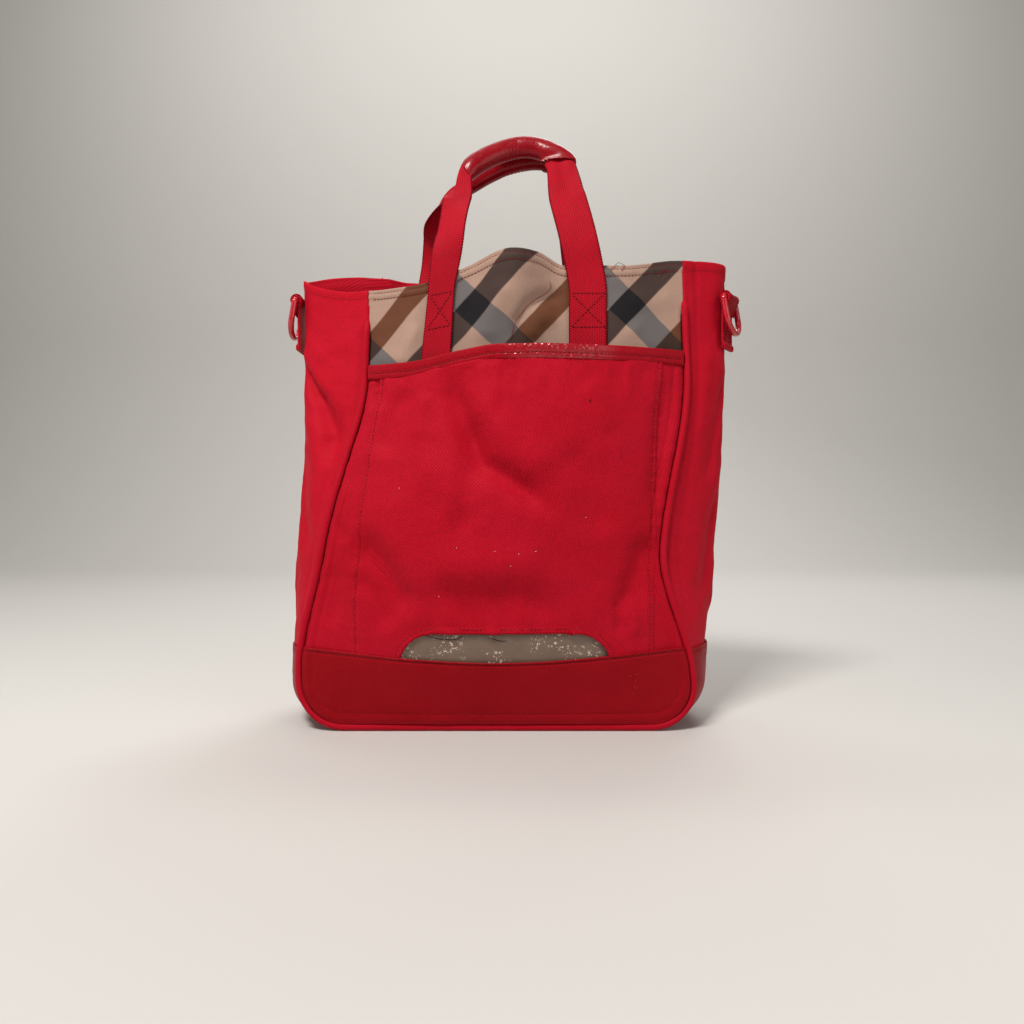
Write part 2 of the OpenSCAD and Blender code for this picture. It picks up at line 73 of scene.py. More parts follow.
def thicken(sheet, thick):
    """Grows a sheet inwards from its face by thick millimetres."""
    wall = sheet.modifiers.new("thickness", "SOLIDIFY")
    wall.thickness = thick * MM
    wall.offset = -1
    return sheet


def dress(piece, body, slot, *nodes):
    """Lets a piece ride on a body and stand for the nodes that it replaces."""
    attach(piece, body)
    if nodes:
        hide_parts(*nodes)


class Shader:
    """One shader tree. A call adds a node: values go into its sockets in order or by name,
    and a node given as a value stands for its first output."""

    def __init__(self, tree):
        self.tree = tree

    def feed(self, value, socket):
        if isinstance(value, bpy.types.Node):
            value = value.outputs[0]
        if isinstance(value, bpy.types.NodeSocket):
            self.tree.links.new(value, socket)
        elif socket.type == "RGBA":
            socket.default_value = (*value, 1.0)
        else:
            socket.default_value = value

    def __call__(self, kind, *values, **named):
        made = self.tree.nodes.new("ShaderNode" + kind)
        for key in ("node_tree", "operation", "feature", "uv_map"):
            if key in named:
                setattr(made, key, named.pop(key))
        for at, value in enumerate(values):
            self.feed(value, made.inputs[at])
        for key, value in named.items():
            self.feed(value, made.inputs[key.replace("_", " ")])
        return made

    def math(self, operation, *values):
        return self("Math", *values, operation=operation)

    def scale(self, vector, by):
        return self("VectorMath", vector, operation="SCALE", Scale=by)

    def blend(self, amount, a, b, mode="MIX"):
        """Mix of two colours; each may be a colour or another node's output."""
        node = self.tree.nodes.new("ShaderNodeMix")
        node.data_type = "RGBA"
        node.blend_type = mode
        for at, value in ((0, amount), (6, a), (7, b)):
            self.feed(value, node.inputs[at])
        return node.outputs[2]

    def surface(self, **named):
        """Feeds the sockets of the tree's Principled shader."""
        for key, value in named.items():
            self.feed(value, self.tree.nodes["Principled BSDF"].inputs[key.replace("_", " ")])

    def bump(self, strength, distance, height):
        self.surface(Normal=self("Bump", Strength=strength, Distance=distance, Height=height))


def start_material(name, **settings):
    """A new material and its shader, with settings on the Principled shader's sockets."""
    made = bpy.data.materials.new(name)
    made.use_nodes = True
    add = Shader(made.node_tree)
    add.surface(**settings)
    return made, add


def start_group(name, settings, results):
    """A node group that takes a vector and settings, with its shader, inputs and outputs."""
    group = bpy.data.node_groups.new(name, "ShaderNodeTree")
    face = group.interface
    face.new_socket("Vector", in_out="INPUT", socket_type="NodeSocketVector")
    for key, value in settings.items():
        face.new_socket(key, in_out="INPUT", socket_type="NodeSocketFloat").default_value = value
    for key in results:
        face.new_socket(key, in_out="OUTPUT", socket_type="NodeSocketFloat")
    return (group, Shader(group), group.nodes.new("NodeGroupInput").outputs,
            group.nodes.new("NodeGroupOutput").inputs)


def whole(add):
    """A piece's own coordinates."""
    return add("TexCoord").outputs["Object"]


# ---- camera, floor and lights ------------------------------------------------------
# The bag is looked at straight from the front, from the height of its waist, by a
# phone's main lens. It stands on a pale studio sweep under soft lights.
lens = bpy.data.cameras.new("view")
lens.lens = 27.0
lens.sensor_width = 36.0
lens.clip_start = 0.01
camera = link("view", lens, (0.010, -0.590, 0.155), (math.radians(90), 0, 0))
bpy.context.scene.camera = camera
bpy.context.scene.view_settings.view_transform = "Standard"

FLOOR_HALF, FLOOR_FRONT, WALL_Y, WALL_H, BEND_R = 9.0, -3.0, 2.2, 3.2, 0.8


def sweep_of_floor(name, material):
    """A floor that curves up behind the bag into a plain wall."""
    bm = bmesh.new()
    turns = [math.radians(7.5 * step) for step in range(13)]
    bend = [(WALL_Y - BEND_R * (1 - math.sin(turn)), BEND_R * (1 - math.cos(turn)))
            for turn in turns]
    line = [bm.verts.new((-FLOOR_HALF, y, z))
            for y, z in [(FLOOR_FRONT, 0)] + bend + [(WALL_Y, WALL_H)]]
    edges = [bm.edges.new(pair) for pair in zip(line, line[1:])]
    grown = bmesh.ops.extrude_edge_only(bm, edges=edges)["geom"]
    bmesh.ops.translate(bm, vec=(2 * FLOOR_HALF, 0, 0),
                        verts=[g for g in grown if isinstance(g, bmesh.types.BMVert)])
    bmesh.ops.recalc_face_normals(bm, faces=bm.faces)
    return put(name, material, bm)


paper = start_material("studio_paper", Base_Color=(0.60, 0.586, 0.556), Roughness=0.9)[0]
sweep_of_floor("studio_floor", paper)

# name, place, aimed at, width and height in metres, watts, colour
WARM = (1.0, 0.98, 0.96)
for name, place, target, size, power, tint in (
        ("key", (-0.38, -0.80, 1.34), (0, 0, 0.22), (0.42, 0.30), 21, (1.0, 0.97, 0.94)),
        ("fill", (1.1, -1.1, 0.6), (0, 0, 0.2), (0.9, 0.9), 5.0, WARM),
        ("side", (-1.3, -0.5, 0.5), (0, 0, 0.2), (0.8, 0.8), 2.4, WARM),
        ("back", (0.5, 1.3, 1.5), (0, 0, 0.2), (0.9, 0.6), 9, (1.0, 1.0, 1.0)),
        ("wall", (0, 0.9, 2.4), (0, 2.2, 0.9), (2.6, 0.8), 32, WARM)):
    light = bpy.data.lights.new(name, "AREA")
    light.shape = "RECTANGLE"
    light.size, light.size_y = size
    light.energy = power
    light.color = tint
    link(name, light, place,
         (Vector(target) - Vector(place)).to_track_quat("-Z", "Y").to_euler())
world = bpy.data.worlds.new("room")
world.use_nodes = True
world.node_tree.nodes["Background"].inputs["Color"].default_value = (1.0, 0.98, 0.95, 1)
world.node_tree.nodes["Background"].inputs["Strength"].default_value = 0.16
bpy.context.scene.world = world

# ---- front lower wall --------------------------------------------------------------
# The front of the main compartment behind the pocket, cut from the same red nylon twill
# as the rest. The bag's outline and drape start here, in millimetres, and every other
# panel is cut to them.
BODY_H, DEPTH, MOUTH = 338.0, 90.0, 62.0
FOOT_W, HEM_W, CREST_W = 282.0, 229.0, 315.0
CORNER, SEAM_Z, EDGE_GAP = 32.0, 2.6, 2.75
LEATHER_H, LEATHER_DIP = 58.0, 7.0
POCKET_H, STRAP_TUCK, CHECK_TUCK = 262.0, 22.0, 20.0
WEBBING_W, WEBBING_T = 28.0, 1.4
FRONT_X, FRONT_W, REAR_X, REAR_W = 11.8, 104.6, 7.4, 124.2
FRONT_BULGE, BACK_BULGE, FRONT_HUMP, BACK_HUMP = 29.0, 14.0, 18.0, 4.5
LEFT_DROP, REAR_LEFT_RISE = 22.0, 5.0
HINGE_H = BODY_H - 26.0
WALL_OFF = -1.1
CLOTH_T = 1.2
CORNER_Z = SEAM_Z + CORNER


def ease(t):
    c = min(1.0, max(0.0, t))
    return c * c * (3 - 2 * c)


def mix(a, b, t):
    return a + (b - a) * t


def hill(offset, width):
    """1 at no offset, fading to nothing over about twice the width."""
    return math.exp(-(offset / width) ** 2)


def panel_mid(z):
    return -5 * ease(z / 110) + 25 * ease((z - 110) / 150)


def panel_full(z):
    flare = 0.42 * (1 - z / BODY_H) + 0.58 * (1 - ease((z - 40) / 90))
    return (HEM_W + (FOOT_W - HEM_W) * flare) / 2


def panel_half(z, inset=EDGE_GAP):
    up = CORNER_Z - z
    if up <= 0:
        return panel_full(z) - inset
    return panel_full(z) - CORNER + math.sqrt(max(0.0, (CORNER - inset) ** 2 - up * up))


def panel_x(u, z, inset=EDGE_GAP):
    """x at u, which goes from -1 at a panel's left edge to 1 at its right edge."""
    return panel_mid(z) + u * panel_half(z, inset)


def panel_u(x, z):
    return (x - panel_mid(z)) / panel_half(z)


def seam_depth(z):
    return DEPTH / 2 - (DEPTH - MOUTH) / 2 * ease((z - 110) / 180)


def swell(x, z, bulge):
    q = (x - panel_mid(z)) / panel_half(z, 0)
    return bulge * (1 - (1 - min(1.0, z / POCKET_H)) ** 2.5) * max(0.0, 1 - q * q)


def lands(x, z, mid, width, hump):
    """Flat cloth under the two straps, with the hem puffed out between them."""
    land = WEBBING_W / 2 + 5
    left, right = panel_mid(z) - panel_half(z, 0), panel_mid(z) + panel_half(z, 0)
    edge = ((x - left) / (mid - width / 2 - land - left) if x < mid
            else (right - x) / (right - mid - width / 2 - land))
    inner = width / 2 - land
    rise = 0.25 + 0.75 * ease((z - POCKET_H) / (BODY_H - POCKET_H))
    return 11 * ease(edge) + hump * rise * ease((x - mid + inner) / inner) * ease(
        (mid + inner - x) / inner)


def pulled_in(z):
    return ease((z - 130) / (POCKET_H - STRAP_TUCK - 130))


def front_wall_d(x, z):
    m = pulled_in(z)
    return (seam_depth(z) + (1 - m) * swell(x, z, FRONT_BULGE)
            + m * lands(x, z, FRONT_X, FRONT_W, FRONT_HUMP))


def pocket_d(x, z):
    return seam_depth(z) + swell(x, z, FRONT_BULGE)


def back_wall_d(x, z):
    m = pulled_in(z)
    return (seam_depth(z) + (1 - m) * swell(x, z, BACK_BULGE)
            + m * lands(x, z, REAR_X, REAR_W, BACK_HUMP))


def fade(z):
    return max(0.0, (z - 200) / (BODY_H - 200))


def left_drop(u):
    return LEFT_DROP * ease((-u - 0.1) / 0.7)


def front_hem(u, z):
    dip = 7 * ease((u - 0.06) / 0.2) * (1 - ease((u - 0.6) / 0.4))
    return z - fade(z) * (left_drop(u) + dip)


def back_hem(u, z):
    return z + REAR_LEFT_RISE * fade(z) * ease((-u - 0.1) / 0.8)


def from_edge(x, z):
    """Distance in from the outline that the piping follows, round its lower corners too."""
    aside = abs(x - panel_mid(z))
    full = panel_full(z)
    if z >= CORNER_Z:
        return full - aside
    if aside > full - CORNER:
        return CORNER - math.hypot(aside - full + CORNER, CORNER_Z - z)
    return min(full - aside, z - SEAM_Z)


def turned_edge(near):
    """The seam allowance under the cloth beside the piping: a soft ridge and a groove."""
    return 1.0 * hill(near - 6.2, 2.3) - 0.75 * hill(near - 10.4, 1.0)


def hem_relief(down, row):
    """The turned hem: a soft ridge with a groove at its row of stitches."""
    return 0.5 * ease((row + 1.6 - down) / 1.4) - 0.5 * hill(down - row, 0.8)


def nearest(x, z, points):
    """The nearest place on a line through points: how far, the run to it, how far off to
    its side, and its x and z."""
    best = (1e9, 0.0, 0.0, x, z)
    run = 0.0
    for a, b in zip(points, points[1:]):
        dx, dz = b[0] - a[0], b[1] - a[1]
        size = math.hypot(dx, dz)
        t = min(1.0, max(0.0, ((x - a[0]) * dx + (z - a[1]) * dz) / size ** 2))
        px, pz = a[0] + t * dx, a[1] + t * dz
        away = math.hypot(x - px, z - pz)
        if away < best[0]:
            best = (away, run + t * size, ((x - a[0]) * dz - (z - a[1]) * dx) / size, px, pz)
        run += size
    return best


def fold(x, z, points, width, skew=0.0):
    """Height of a fold along a line through points: 1 on the line, gone at its ends."""
    away, run, side = nearest(x, z, points)[:3]
    if away > 3 * width:
        return 0.0
    along = run / sum(math.dist(a, b) for a, b in zip(points, points[1:]))
    ends = ease(along / 0.25) * ease((1 - along) / 0.25)
    return ends * hill(away, width) * (1 + skew * side / width)


def folds(x, z, table):
    return sum(depth * fold(x, z, points, width, skew) for points, width, depth, skew in table)


def ripple(x, z, seed, size, squeeze=1.0):
    """Soft uneven swell of cloth; squeeze draws it out upwards."""
    return noise.fractal(Vector((x / size, z / size * squeeze, seed)), 1.0, 2.0, 3)


def cloth(name, material, cols, rows, lay, relief, thick, flat=None, turn=False, window=None,
          lean=1.0):
    """A sheet of cloth. lay(u, v) puts its outer face in place in millimetres, relief(u, v)
    raises it, and thick is its thickness inwards. window cuts a hole: it takes a point of
    the laid sheet and gives its distance outside the hole and the nearest point on it."""
    bm = bmesh.new()
    bmesh.ops.create_grid(bm, x_segments=cols, y_segments=rows, size=0.5)
    weave = bm.loops.layers.uv.new("weave")
    spot = {vert: (vert.co.x + 0.5, (vert.co.y + 0.5) ** lean) for vert in bm.verts}
    if window:
        doomed = []
        for vert, (u, v) in spot.items():
            gap, place = window(u, v)
            spot[vert] = place if abs(gap) < 0.75 else (u, v)
            if gap < -0.75:
                doomed.append(vert)
        bmesh.ops.delete(bm, geom=doomed, context="VERTS")
        spot = {vert: spot[vert] for vert in bm.verts}
    for vert, (u, v) in spot.items():
        vert.co = lay(u, v)
    if turn:
        bmesh.ops.reverse_faces(bm, faces=bm.faces)
    bm.normal_update()
    base = {vert: vert.co.copy() for vert in bm.verts}
    for vert, (u, v) in spot.items():
        vert.co = vert.co + vert.normal * relief(u, v)
    for face in bm.faces:
        for loop in face.loops:
            u, v = spot[loop.vert]
            p = flat(u, v) if flat else (base[loop.vert].x, base[loop.vert].z)
            loop[weave].uv = (p[0] * MM, p[1] * MM)
    return thicken(put(name, material, bm, MM), thick)


def weave_group():
    """Yarns of a diagonal weave. Rib runs over the raised yarns, Height is lower where a
    yarn dives, Mottle is uneven dye and Worn is slow fading."""
    group, add, given, out = start_group(
        "Diagonal weave", {"Pitch": 0.0017, "Float length": 2.2, "Wander": 0.25},
        ("Rib", "Height", "Mottle", "Worn"))
    place = add.scale(given["Vector"], add.math("DIVIDE", 1.0, given["Pitch"]))
    drift = add("TexNoise", Vector=place, Scale=0.09, Detail=2.0)
    part = add("SeparateXYZ", place)
    along = add.math("ADD", part.outputs[0], part.outputs[1])
    cross = add.math("SUBTRACT", part.outputs[0], part.outputs[1])
    line = add.math("MULTIPLY_ADD", along, 0.7071, add.math("MULTIPLY", drift, given["Wander"]))
    wave = add.math("COSINE", add.math("MULTIPLY", line, 2 * math.pi))
    rib = add("MapRange", wave, -1.0, 1.0)
    stagger = add.math("MULTIPLY", add.math("FLOOR", line), 0.37)
    phase = add.math("ADD", add.math("DIVIDE", cross, given["Float length"]), stagger)
    dive = add.math("COSINE", add.math("MULTIPLY", phase, 2 * math.pi))
    lift = add.math("MULTIPLY_ADD", add("MapRange", dive, -1.0, 1.0), 0.35, 0.65)
    dye = add("TexNoise", Vector=place, Scale=0.6, Detail=3.0)
    old = add("TexNoise", Vector=given["Vector"], Scale=11.0, Detail=3.0, Roughness=0.6)
    for name, value in (("Rib", rib), ("Height", add.math("MULTIPLY", rib, lift)),
                        ("Mottle", dye), ("Worn", add("MapRange", old, 0.35, 0.68))):
        add.feed(value, out[name])
    return group


diagonal = weave_group()


def weave_node(add, pitch, length=2.2, wander=0.25):
    return add("Group", node_tree=diagonal, Vector=add("UVMap", uv_map="weave"), Pitch=pitch,
               Float_length=length, Wander=wander).outputs


def twill_material(name, light, deep, pitch=0.00165, raised=0.00014):
    """Nylon twill: bright ribs over deeper gaps, unevenly dyed, slightly faded."""
    made, add = start_material(
        name, Roughness=0.60, Sheen_Weight=0.10, Sheen_Roughness=0.5,
        Sheen_Tint=(1.0, 0.10, 0.16), Specular_IOR_Level=0.16, Specular_Tint=(1.0, 0.35, 0.42))
    yarn = weave_node(add, pitch)
    base = add.blend(yarn["Height"], deep, light)
    faded = add.blend(yarn["Worn"], base, add.blend(1.0, base, (1.10, 1.6, 1.5), "MULTIPLY"))
    dyed = add("MapRange", yarn["Mottle"], 0.3, 0.7, 0.93, 1.05)
    add.surface(Base_Color=add.scale(faded, dyed),
                Roughness=add("MapRange", yarn["Height"], 0.0, 1.0, 0.78, 0.52))
    add.bump(0.6, raised, yarn["Height"])
    return made


twill = twill_material("twill", (0.49, 0.0045, 0.017), (0.335, 0.0020, 0.009))


def facing_out(lay, relief, turn=1):
    """The outer face that a sheet's lay and relief make: (point, normal) at u, v."""
    step = 0.002

    def at(u, v):
        here = lay(u, v)
        normal = (lay(u + step, v) - here).cross(lay(u, v + step) - here).normalized() * turn
        return here + normal * relief(u, v), normal
    return at


def panel_lay(low, high, depth, lift, out, side=-1):
    """Lays a panel between two heights, out from its depth. side is 1 for the back."""
    def lay(a, v):
        z, u = mix(low, high, v), 2 * a - 1
        x = panel_x(u, z)
        return Vector((x, side * (depth(x, z) + out), lift(u, z)))
    return lay


def strap_clear(x, mid, width):
    """Distance from x to the edge of the nearer of two straps."""
    return min(abs(x - mid - width / 2), abs(x - mid + width / 2)) - WEBBING_W / 2


wall_foot = SEAM_Z + EDGE_GAP + 0.2
dress(cloth("front_lower_wall", twill, 60, 70,
            panel_lay(wall_foot, POCKET_H - CHECK_TUCK, front_wall_d, front_hem, WALL_OFF - 3.0),
            lambda a, v: 0.5 * ripple(a * 200, v * 240, 3.1, 60), CLOTH_T, lean=1.6),
      "bag", "twill", "front_lower_wall")

# ---- check panel ---------------------------------------------------------------------
# The part of the front wall that shows above the pocket: smooth check cloth cut on the
# bias, turned over at the hem and held there by two rows of red stitching.
CHECK_LOW = POCKET_H - CHECK_TUCK + 0.3
CHECK_ROWS = (2.6, 7.6)
# points of each dent or ridge (x, z), width, height, lean to one side
CHECK_FOLDS = (
    (((12, 272), (13, 290), (22, 302), (37, 312), (47, 323)), 5.0, -2.6, 0.5),
    (((22, 276), (30, 292), (42, 302)), 6.0, 1.6, 0.0),
    (((-14, 276), (-4, 300), (4, 322)), 9.0, 1.7, 0.6),
    (((-76, 268), (-66, 290), (-58, 308)), 7.0, 1.3, 0.6),
    (((92, 318), (112, 310), (128, 313)), 6.0, 0.9, 0.5),
    (((92, 296), (104, 280), (118, 266)), 8.0, 1.4, -0.5),
    (((48, 268), (52, 290), (49, 312)), 5.0, -0.9, 0.0),
    (((-24, 268), (-27, 290), (-24, 314)), 5.0, -0.8, 0.0))


def check_relief(a, v):
    z, u = mix(CHECK_LOW, BODY_H, v), 2 * a - 1
    x = panel_x(u, z)
    down = BODY_H - z
    hem = 0.55 * ease((8.6 - down) / 1.2) - 0.45 * sum(hill(down - row, 0.8) for row in CHECK_ROWS)
    tuck = 0.22 * ripple(x, z, 8.3, 5, 0.4) * ease((16 - down) / 8)
    edge = ease((1 - abs(u)) / 0.08)
    # the straps hold the cloth flat where they are sewn on
    clear = strap_clear(x, FRONT_X, FRONT_W)
    free = ease((clear + 1) / 6) if z < BODY_H - 8 else 1.0
    pressed = 0.5 * ease((10 - abs(clear + 2)) / 9) * (1 - free)
    return hem * mix(0.5, 1, free) + tuck - pressed + free * edge * (
        folds(x, z, CHECK_FOLDS) + 0.9 * ripple(x, z, 5.7, 34))


def check_material():
    """Bias check: brown and rust bands one way, grey bands the other, on a tan ground."""
    made, add = start_material("check_cloth", Sheen_Weight=0.05, Roughness=0.7,
                               Specular_IOR_Level=0.22)
    yarn = weave_node(add, 0.0011, 3.0, 0.3)
    turned = add("Mapping", add("UVMap", uv_map="weave"), Location=(0.006, 0.010, 0),
                 Rotation=(0, 0, math.radians(-47)))
    drawn = add("TexNoise", Vector=turned, Scale=40.0, Detail=1.0)
    pull = add.scale(drawn.outputs["Color"], 0.0016)
    part = add("SeparateXYZ", add("VectorMath", turned, pull, operation="ADD")).outputs

    def band(socket, every, wide, start):
        """1 inside bands that repeat along socket."""
        near = add.math("FRACT", add.math("DIVIDE", add.math("ADD", socket, start), every))
        inner = add("MapRange", near, wide / every, wide / every + 0.012, 1.0, 0.0)
        return add.math("MULTIPLY", inner, add("MapRange", near, 0.0, 0.012))

    grey = band(part[0], 0.076, 0.021, 0.100)
    brown = band(part[1], 0.080, 0.017, 0.100)
    rust = band(part[1], 0.080, 0.015, 0.061)
    ground = add.blend(yarn["Mottle"], (0.36, 0.225, 0.168), (0.43, 0.275, 0.210))
    one = add.blend(grey, ground, (0.150, 0.132, 0.128))
    two = add.blend(rust, one, add.blend(grey, (0.130, 0.043, 0.017), (0.045, 0.022, 0.015)))
    three = add.blend(brown, two, add.blend(grey, (0.060, 0.034, 0.028), (0.007, 0.005, 0.007)))
    strong = add.math("MULTIPLY_ADD", add.math("MAXIMUM", grey, brown), 0.6, 0.4)
    ribbed = add.scale(three, add("MapRange", yarn["Rib"], 0.0, 1.0, 0.72, 1.14))
    add.surface(Base_Color=add.blend(strong, three, ribbed),
                Roughness=add("MapRange", yarn["Height"], 0.0, 1.0, 0.82, 0.60))
    add.bump(0.5, 0.00012, yarn["Height"])
    return made


def to_seam(lay, low):
    """Above the pocket the piping is sunk, and a panel reaches right into its seams."""
    def reaching(a, v):
        here, u = lay(a, v), 2 * a - 1
        here.x += 2.9 * u ** 21 * ease((mix(low, BODY_H, v) - 296) / 14)
        return here
    return reaching


check_lay = to_seam(panel_lay(CHECK_LOW, BODY_H, front_wall_d, front_hem, WALL_OFF), CHECK_LOW)
dress(cloth("check_panel", check_material(), 190, 84, check_lay, check_relief, 1.0),
      "bag", "check_cloth", "front_check_panel")


def stitches(name, thread, runs, every=3.0, length=2.2, thick=0.55):
    """Rows of thread. A run is a list of (point, normal) close together along a seam."""
    bm = bmesh.new()
    for run in runs:
        walked, due = 0.0, every / 2
        for (a, normal), (b, _) in zip(run, run[1:]):
            size = (b - a).length
            while size and walked + size >= due:
                spot = a.lerp(b, (due - walked) / size)
                along = (b - a) / size
                across = along.cross(normal).normalized()
                turn = Matrix((across, normal, along)).transposed().to_4x4()
                spot = (spot + normal * (thick * 0.3)) * MM
                size_of = Matrix.Diagonal((thick / 2 * MM, thick / 2 * MM, length / 2 * MM, 1))
                bmesh.ops.create_uvsphere(bm, u_segments=6, v_segments=4, radius=1.0,
                                          matrix=Matrix.Translation(spot) @ turn @ size_of)
                due += every
            walked += size
    return put(name, thread, bm)


def thread_material(name, light, deep):
    """Twisted polyester thread with a soft shine."""
    made, add = start_material(name, Roughness=0.5, Specular_IOR_Level=0.2)
    grain = add("TexNoise", Vector=whole(add), Scale=900.0, Detail=1.0)
    add.surface(Base_Color=add.blend(grain, deep, light))
    return made


red_thread = thread_material("red_thread", (0.34, 0.004, 0.013), (0.18, 0.002, 0.006))
hem_thread = thread_material("hem_thread", (0.26, 0.020, 0.024), (0.14, 0.008, 0.012))
# dark red thread, darkened further with painted shade of the dimples its stitches pull into leather
# and webbing
shade_darkened_thread = thread_material("shade_darkened_thread", (0.17, 0.002, 0.007), (0.08, 0.001, 0.003))


def path_on(face, points, count=160):
    """Points of the outer face along a line through points given as (u, v)."""
    run = []
    for i in range(count + 1):
        at = i / count * (len(points) - 1)
        k = min(len(points) - 2, int(at))
        (u0, v0), (u1, v1) = points[k], points[k + 1]
        run.append(face(mix(u0, u1, at - k), mix(v0, v1, at - k)))
    return run


def row_on(face, v, ends=0.01, count=240):
    """Points of the outer face straight across it at v."""
    return path_on(face, [(ends, v), (1 - ends, v)], count)


check_face = facing_out(check_lay, check_relief)
dress(stitches("check_hem_stitching", hem_thread,
               [row_on(check_face, 1 - row / (BODY_H - CHECK_LOW), 0.012, 160)
                for row in CHECK_ROWS], every=2.7, thick=0.5), "bag", "check_cloth")

# ---- front pocket ----------------------------------------------------------------------
# The slip pocket over the front: one panel of twill with a seam down each side, gathered a
# little into its binding, and an arched window cut in its foot and sewn round.
POCKET_LOW = LEATHER_H - 4
POCKET_SPAN = POCKET_H - POCKET_LOW
WINDOW_X, WINDOW_W, WINDOW_RISE, WINDOW_SHOULDER = 5.0, 146.0, 22.0, 26.0
WINDOW_FOOT = LEATHER_H - LEATHER_DIP - 8
LEFT_SEAM = ((54, -101.5), (105, -101.5), (156, -97), (245, -86), (264, -84))
RIGHT_SEAM = ((54, 109), (105, 110), (175, 113), (240, 115), (264, 117))
POCKET_FOLDS = (
    (((-34, 268), (-29, 242), (-22, 220), (-8, 190), (20, 172), (44, 150)), 8.5, -5.0, 0.6),
    (((-12, 250), (-4, 226), (14, 200), (44, 180)), 10.0, 2.6, 0.4),
    (((-22, 226), (-20, 190), (-24, 160), (-30, 130)), 10.0, -2.3, -0.5),
    (((-100, 144), (-90, 133), (-80, 121), (-68, 104), (-54, 86)), 12.0, -4.4, 0.6),
    (((-121, 154), (-112, 144), (-105, 133)), 5.5, -1.2, 0.3),
    (((-104, 112), (-86, 98), (-74, 74)), 7.0, -2.2, -0.4),
    (((106, 142), (96, 110), (83, 84)), 10.0, -3.4, -0.3),
    (((83, 97), (85, 84), (86, 71)), 3.6, -1.5, 0.4),
    (((93, 100), (96, 84), (98, 68)), 4.0, 1.1, 0.3),
    (((44, 206), (66, 176), (78, 136)), 15.0, -2.6, 0.3),
    (((125, 256), (118, 222), (114, 190), (113, 146)), 6.5, -1.5, 0.5),
    (((128, 225), (122, 195), (119, 150)), 4.0, 0.9, 0.0),
    (((-62, 252), (-72, 225), (-78, 190)), 9.0, -2.0, 0.6),
    (((-78, 242), (-90, 214), (-92, 180)), 9.0, 1.5, 0.4),
    (((-48, 246), (-54, 226), (-56, 204)), 6.0, 1.2, 0.4),
    (((-60, 190), (-30, 172), (-14, 150)), 14.0, 1.8, 0.0),
    (((-96, 232), (-102, 200), (-110, 168)), 6.0, -1.1, 0.5),
    (((-114, 120), (-112, 98), (-118, 72)), 6.0, -1.1, 0.4),
    (((112, 132), (118, 110), (124, 88)), 5.0, -1.3, 0.5),
    (((-60, 104), (-20, 96), (10, 99), (52, 92)), 12.0, -2.6, 0.3),
    (((-52, 122), (-10, 118), (40, 122)), 12.0, 1.8, 0.0),
    (((60, 248), (74, 232), (80, 208)), 10.0, 1.0, 0.4))


def pocket_lift(u, z):
    sag = LEATHER_DIP * (1 - u * u) * max(0.0, 1 - (z - LEATHER_H) / (130 - LEATHER_H))
    return z - fade(z) * left_drop(u) - sag


def along_table(z, table):
    """Value at z in a table of (z, value)."""
    for (z0, a), (z1, b) in zip(table, table[1:]):
        if z <= z1:
            return mix(a, b, (z - z0) / (z1 - z0))
    return table[-1][1]


def lapped(x, z):
    """The two side seams: cloth steps down outside each, with a groove at the stitches."""
    left, right = x - along_table(z, LEFT_SEAM), along_table(z, RIGHT_SEAM) - x
    near = min(left, right)
    pucker = 0.35 * noise.noise(Vector((z / 4.5, left < right, 7.7))) * hill(near, 6)
    return pucker - 1.3 * ease((0.6 - near) / 1.5) - 0.8 * hill(near - 2.0, 1.1) \
        + 0.5 * hill(near - 0.5, 0.9)


def gathers(x, z):
    """Small puckers that hang from the binding and stand up round the window."""
    top = ease((z - 222) / 24) * ease((263 - z) / 8)
    near = 1.3 * top * top * noise.fractal(Vector((x / 13, z / 70, 2.2)), 1.0, 2.0, 2)
    arch = ease((112 - z) / 26) * ease((76 - abs(x - WINDOW_X)) / 20) * ease((z - 66) / 9)
    return near + 1.5 * arch * noise.fractal(Vector(((x + z / 5) / 12, z / 34, 9.1)), 1.0, 2.0, 3)


def pocket_relief(a, v):
    z, u = mix(POCKET_LOW, POCKET_H, v), 2 * a - 1
    x = panel_x(u, z)
    edge = ease((1 - abs(u)) / 0.05)
    slack = 1.6 * ripple(x, z, 1.7, 60, 0.8) + 0.40 * ripple(x, z, 6.1, 18)
    pinch = 0.5 * (1 - edge) * noise.noise(Vector((z / 7, u, 4.4)))
    rim = from_window(x, pocket_lift(u, z), 90, 15)[0]
    lip = 0.9 * ease((5.4 - rim) / 1.8) - 0.7 * hill(rim - 3.9, 0.8)
    welt = turned_edge(from_edge(x, z)) * ease((262 - z) / 6)
    above = ease((pocket_lift(u, z) - leather_edge(x) + 1.5) / 3)
    return edge * (1.3 * folds(x, z, POCKET_FOLDS) + gathers(x, z) + slack) + lapped(x, z) \
        + pinch + lip * above + welt


def leather_lift(u, z):
    rise = (z / LEATHER_H) ** 2
    return z + rise * (1.7 - (LEATHER_DIP + 2) * (1 - u * u) ** 1.4)


def leather_edge(x):
    """Height of the front leather's top edge at x."""
    return leather_lift(max(-1.0, min(1.0, panel_u(x, LEATHER_H))), LEATHER_H)


def window_edge():
    """The arch's outline in x and z, from its right foot over the top to its left foot."""
    half = WINDOW_W / 2
    turns = [math.radians(3 * i) for i in range(31)]
    arch = [(half, WINDOW_FOOT)] + [
        (half - WINDOW_SHOULDER * (1 - math.cos(turn)),
         WINDOW_FOOT + 6 + WINDOW_RISE * math.sin(turn)) for turn in turns]
    return [(WINDOW_X + x, z) for x, z in arch] + [(WINDOW_X - x, z) for x, z in reversed(arch)]


WINDOW_EDGE = window_edge()


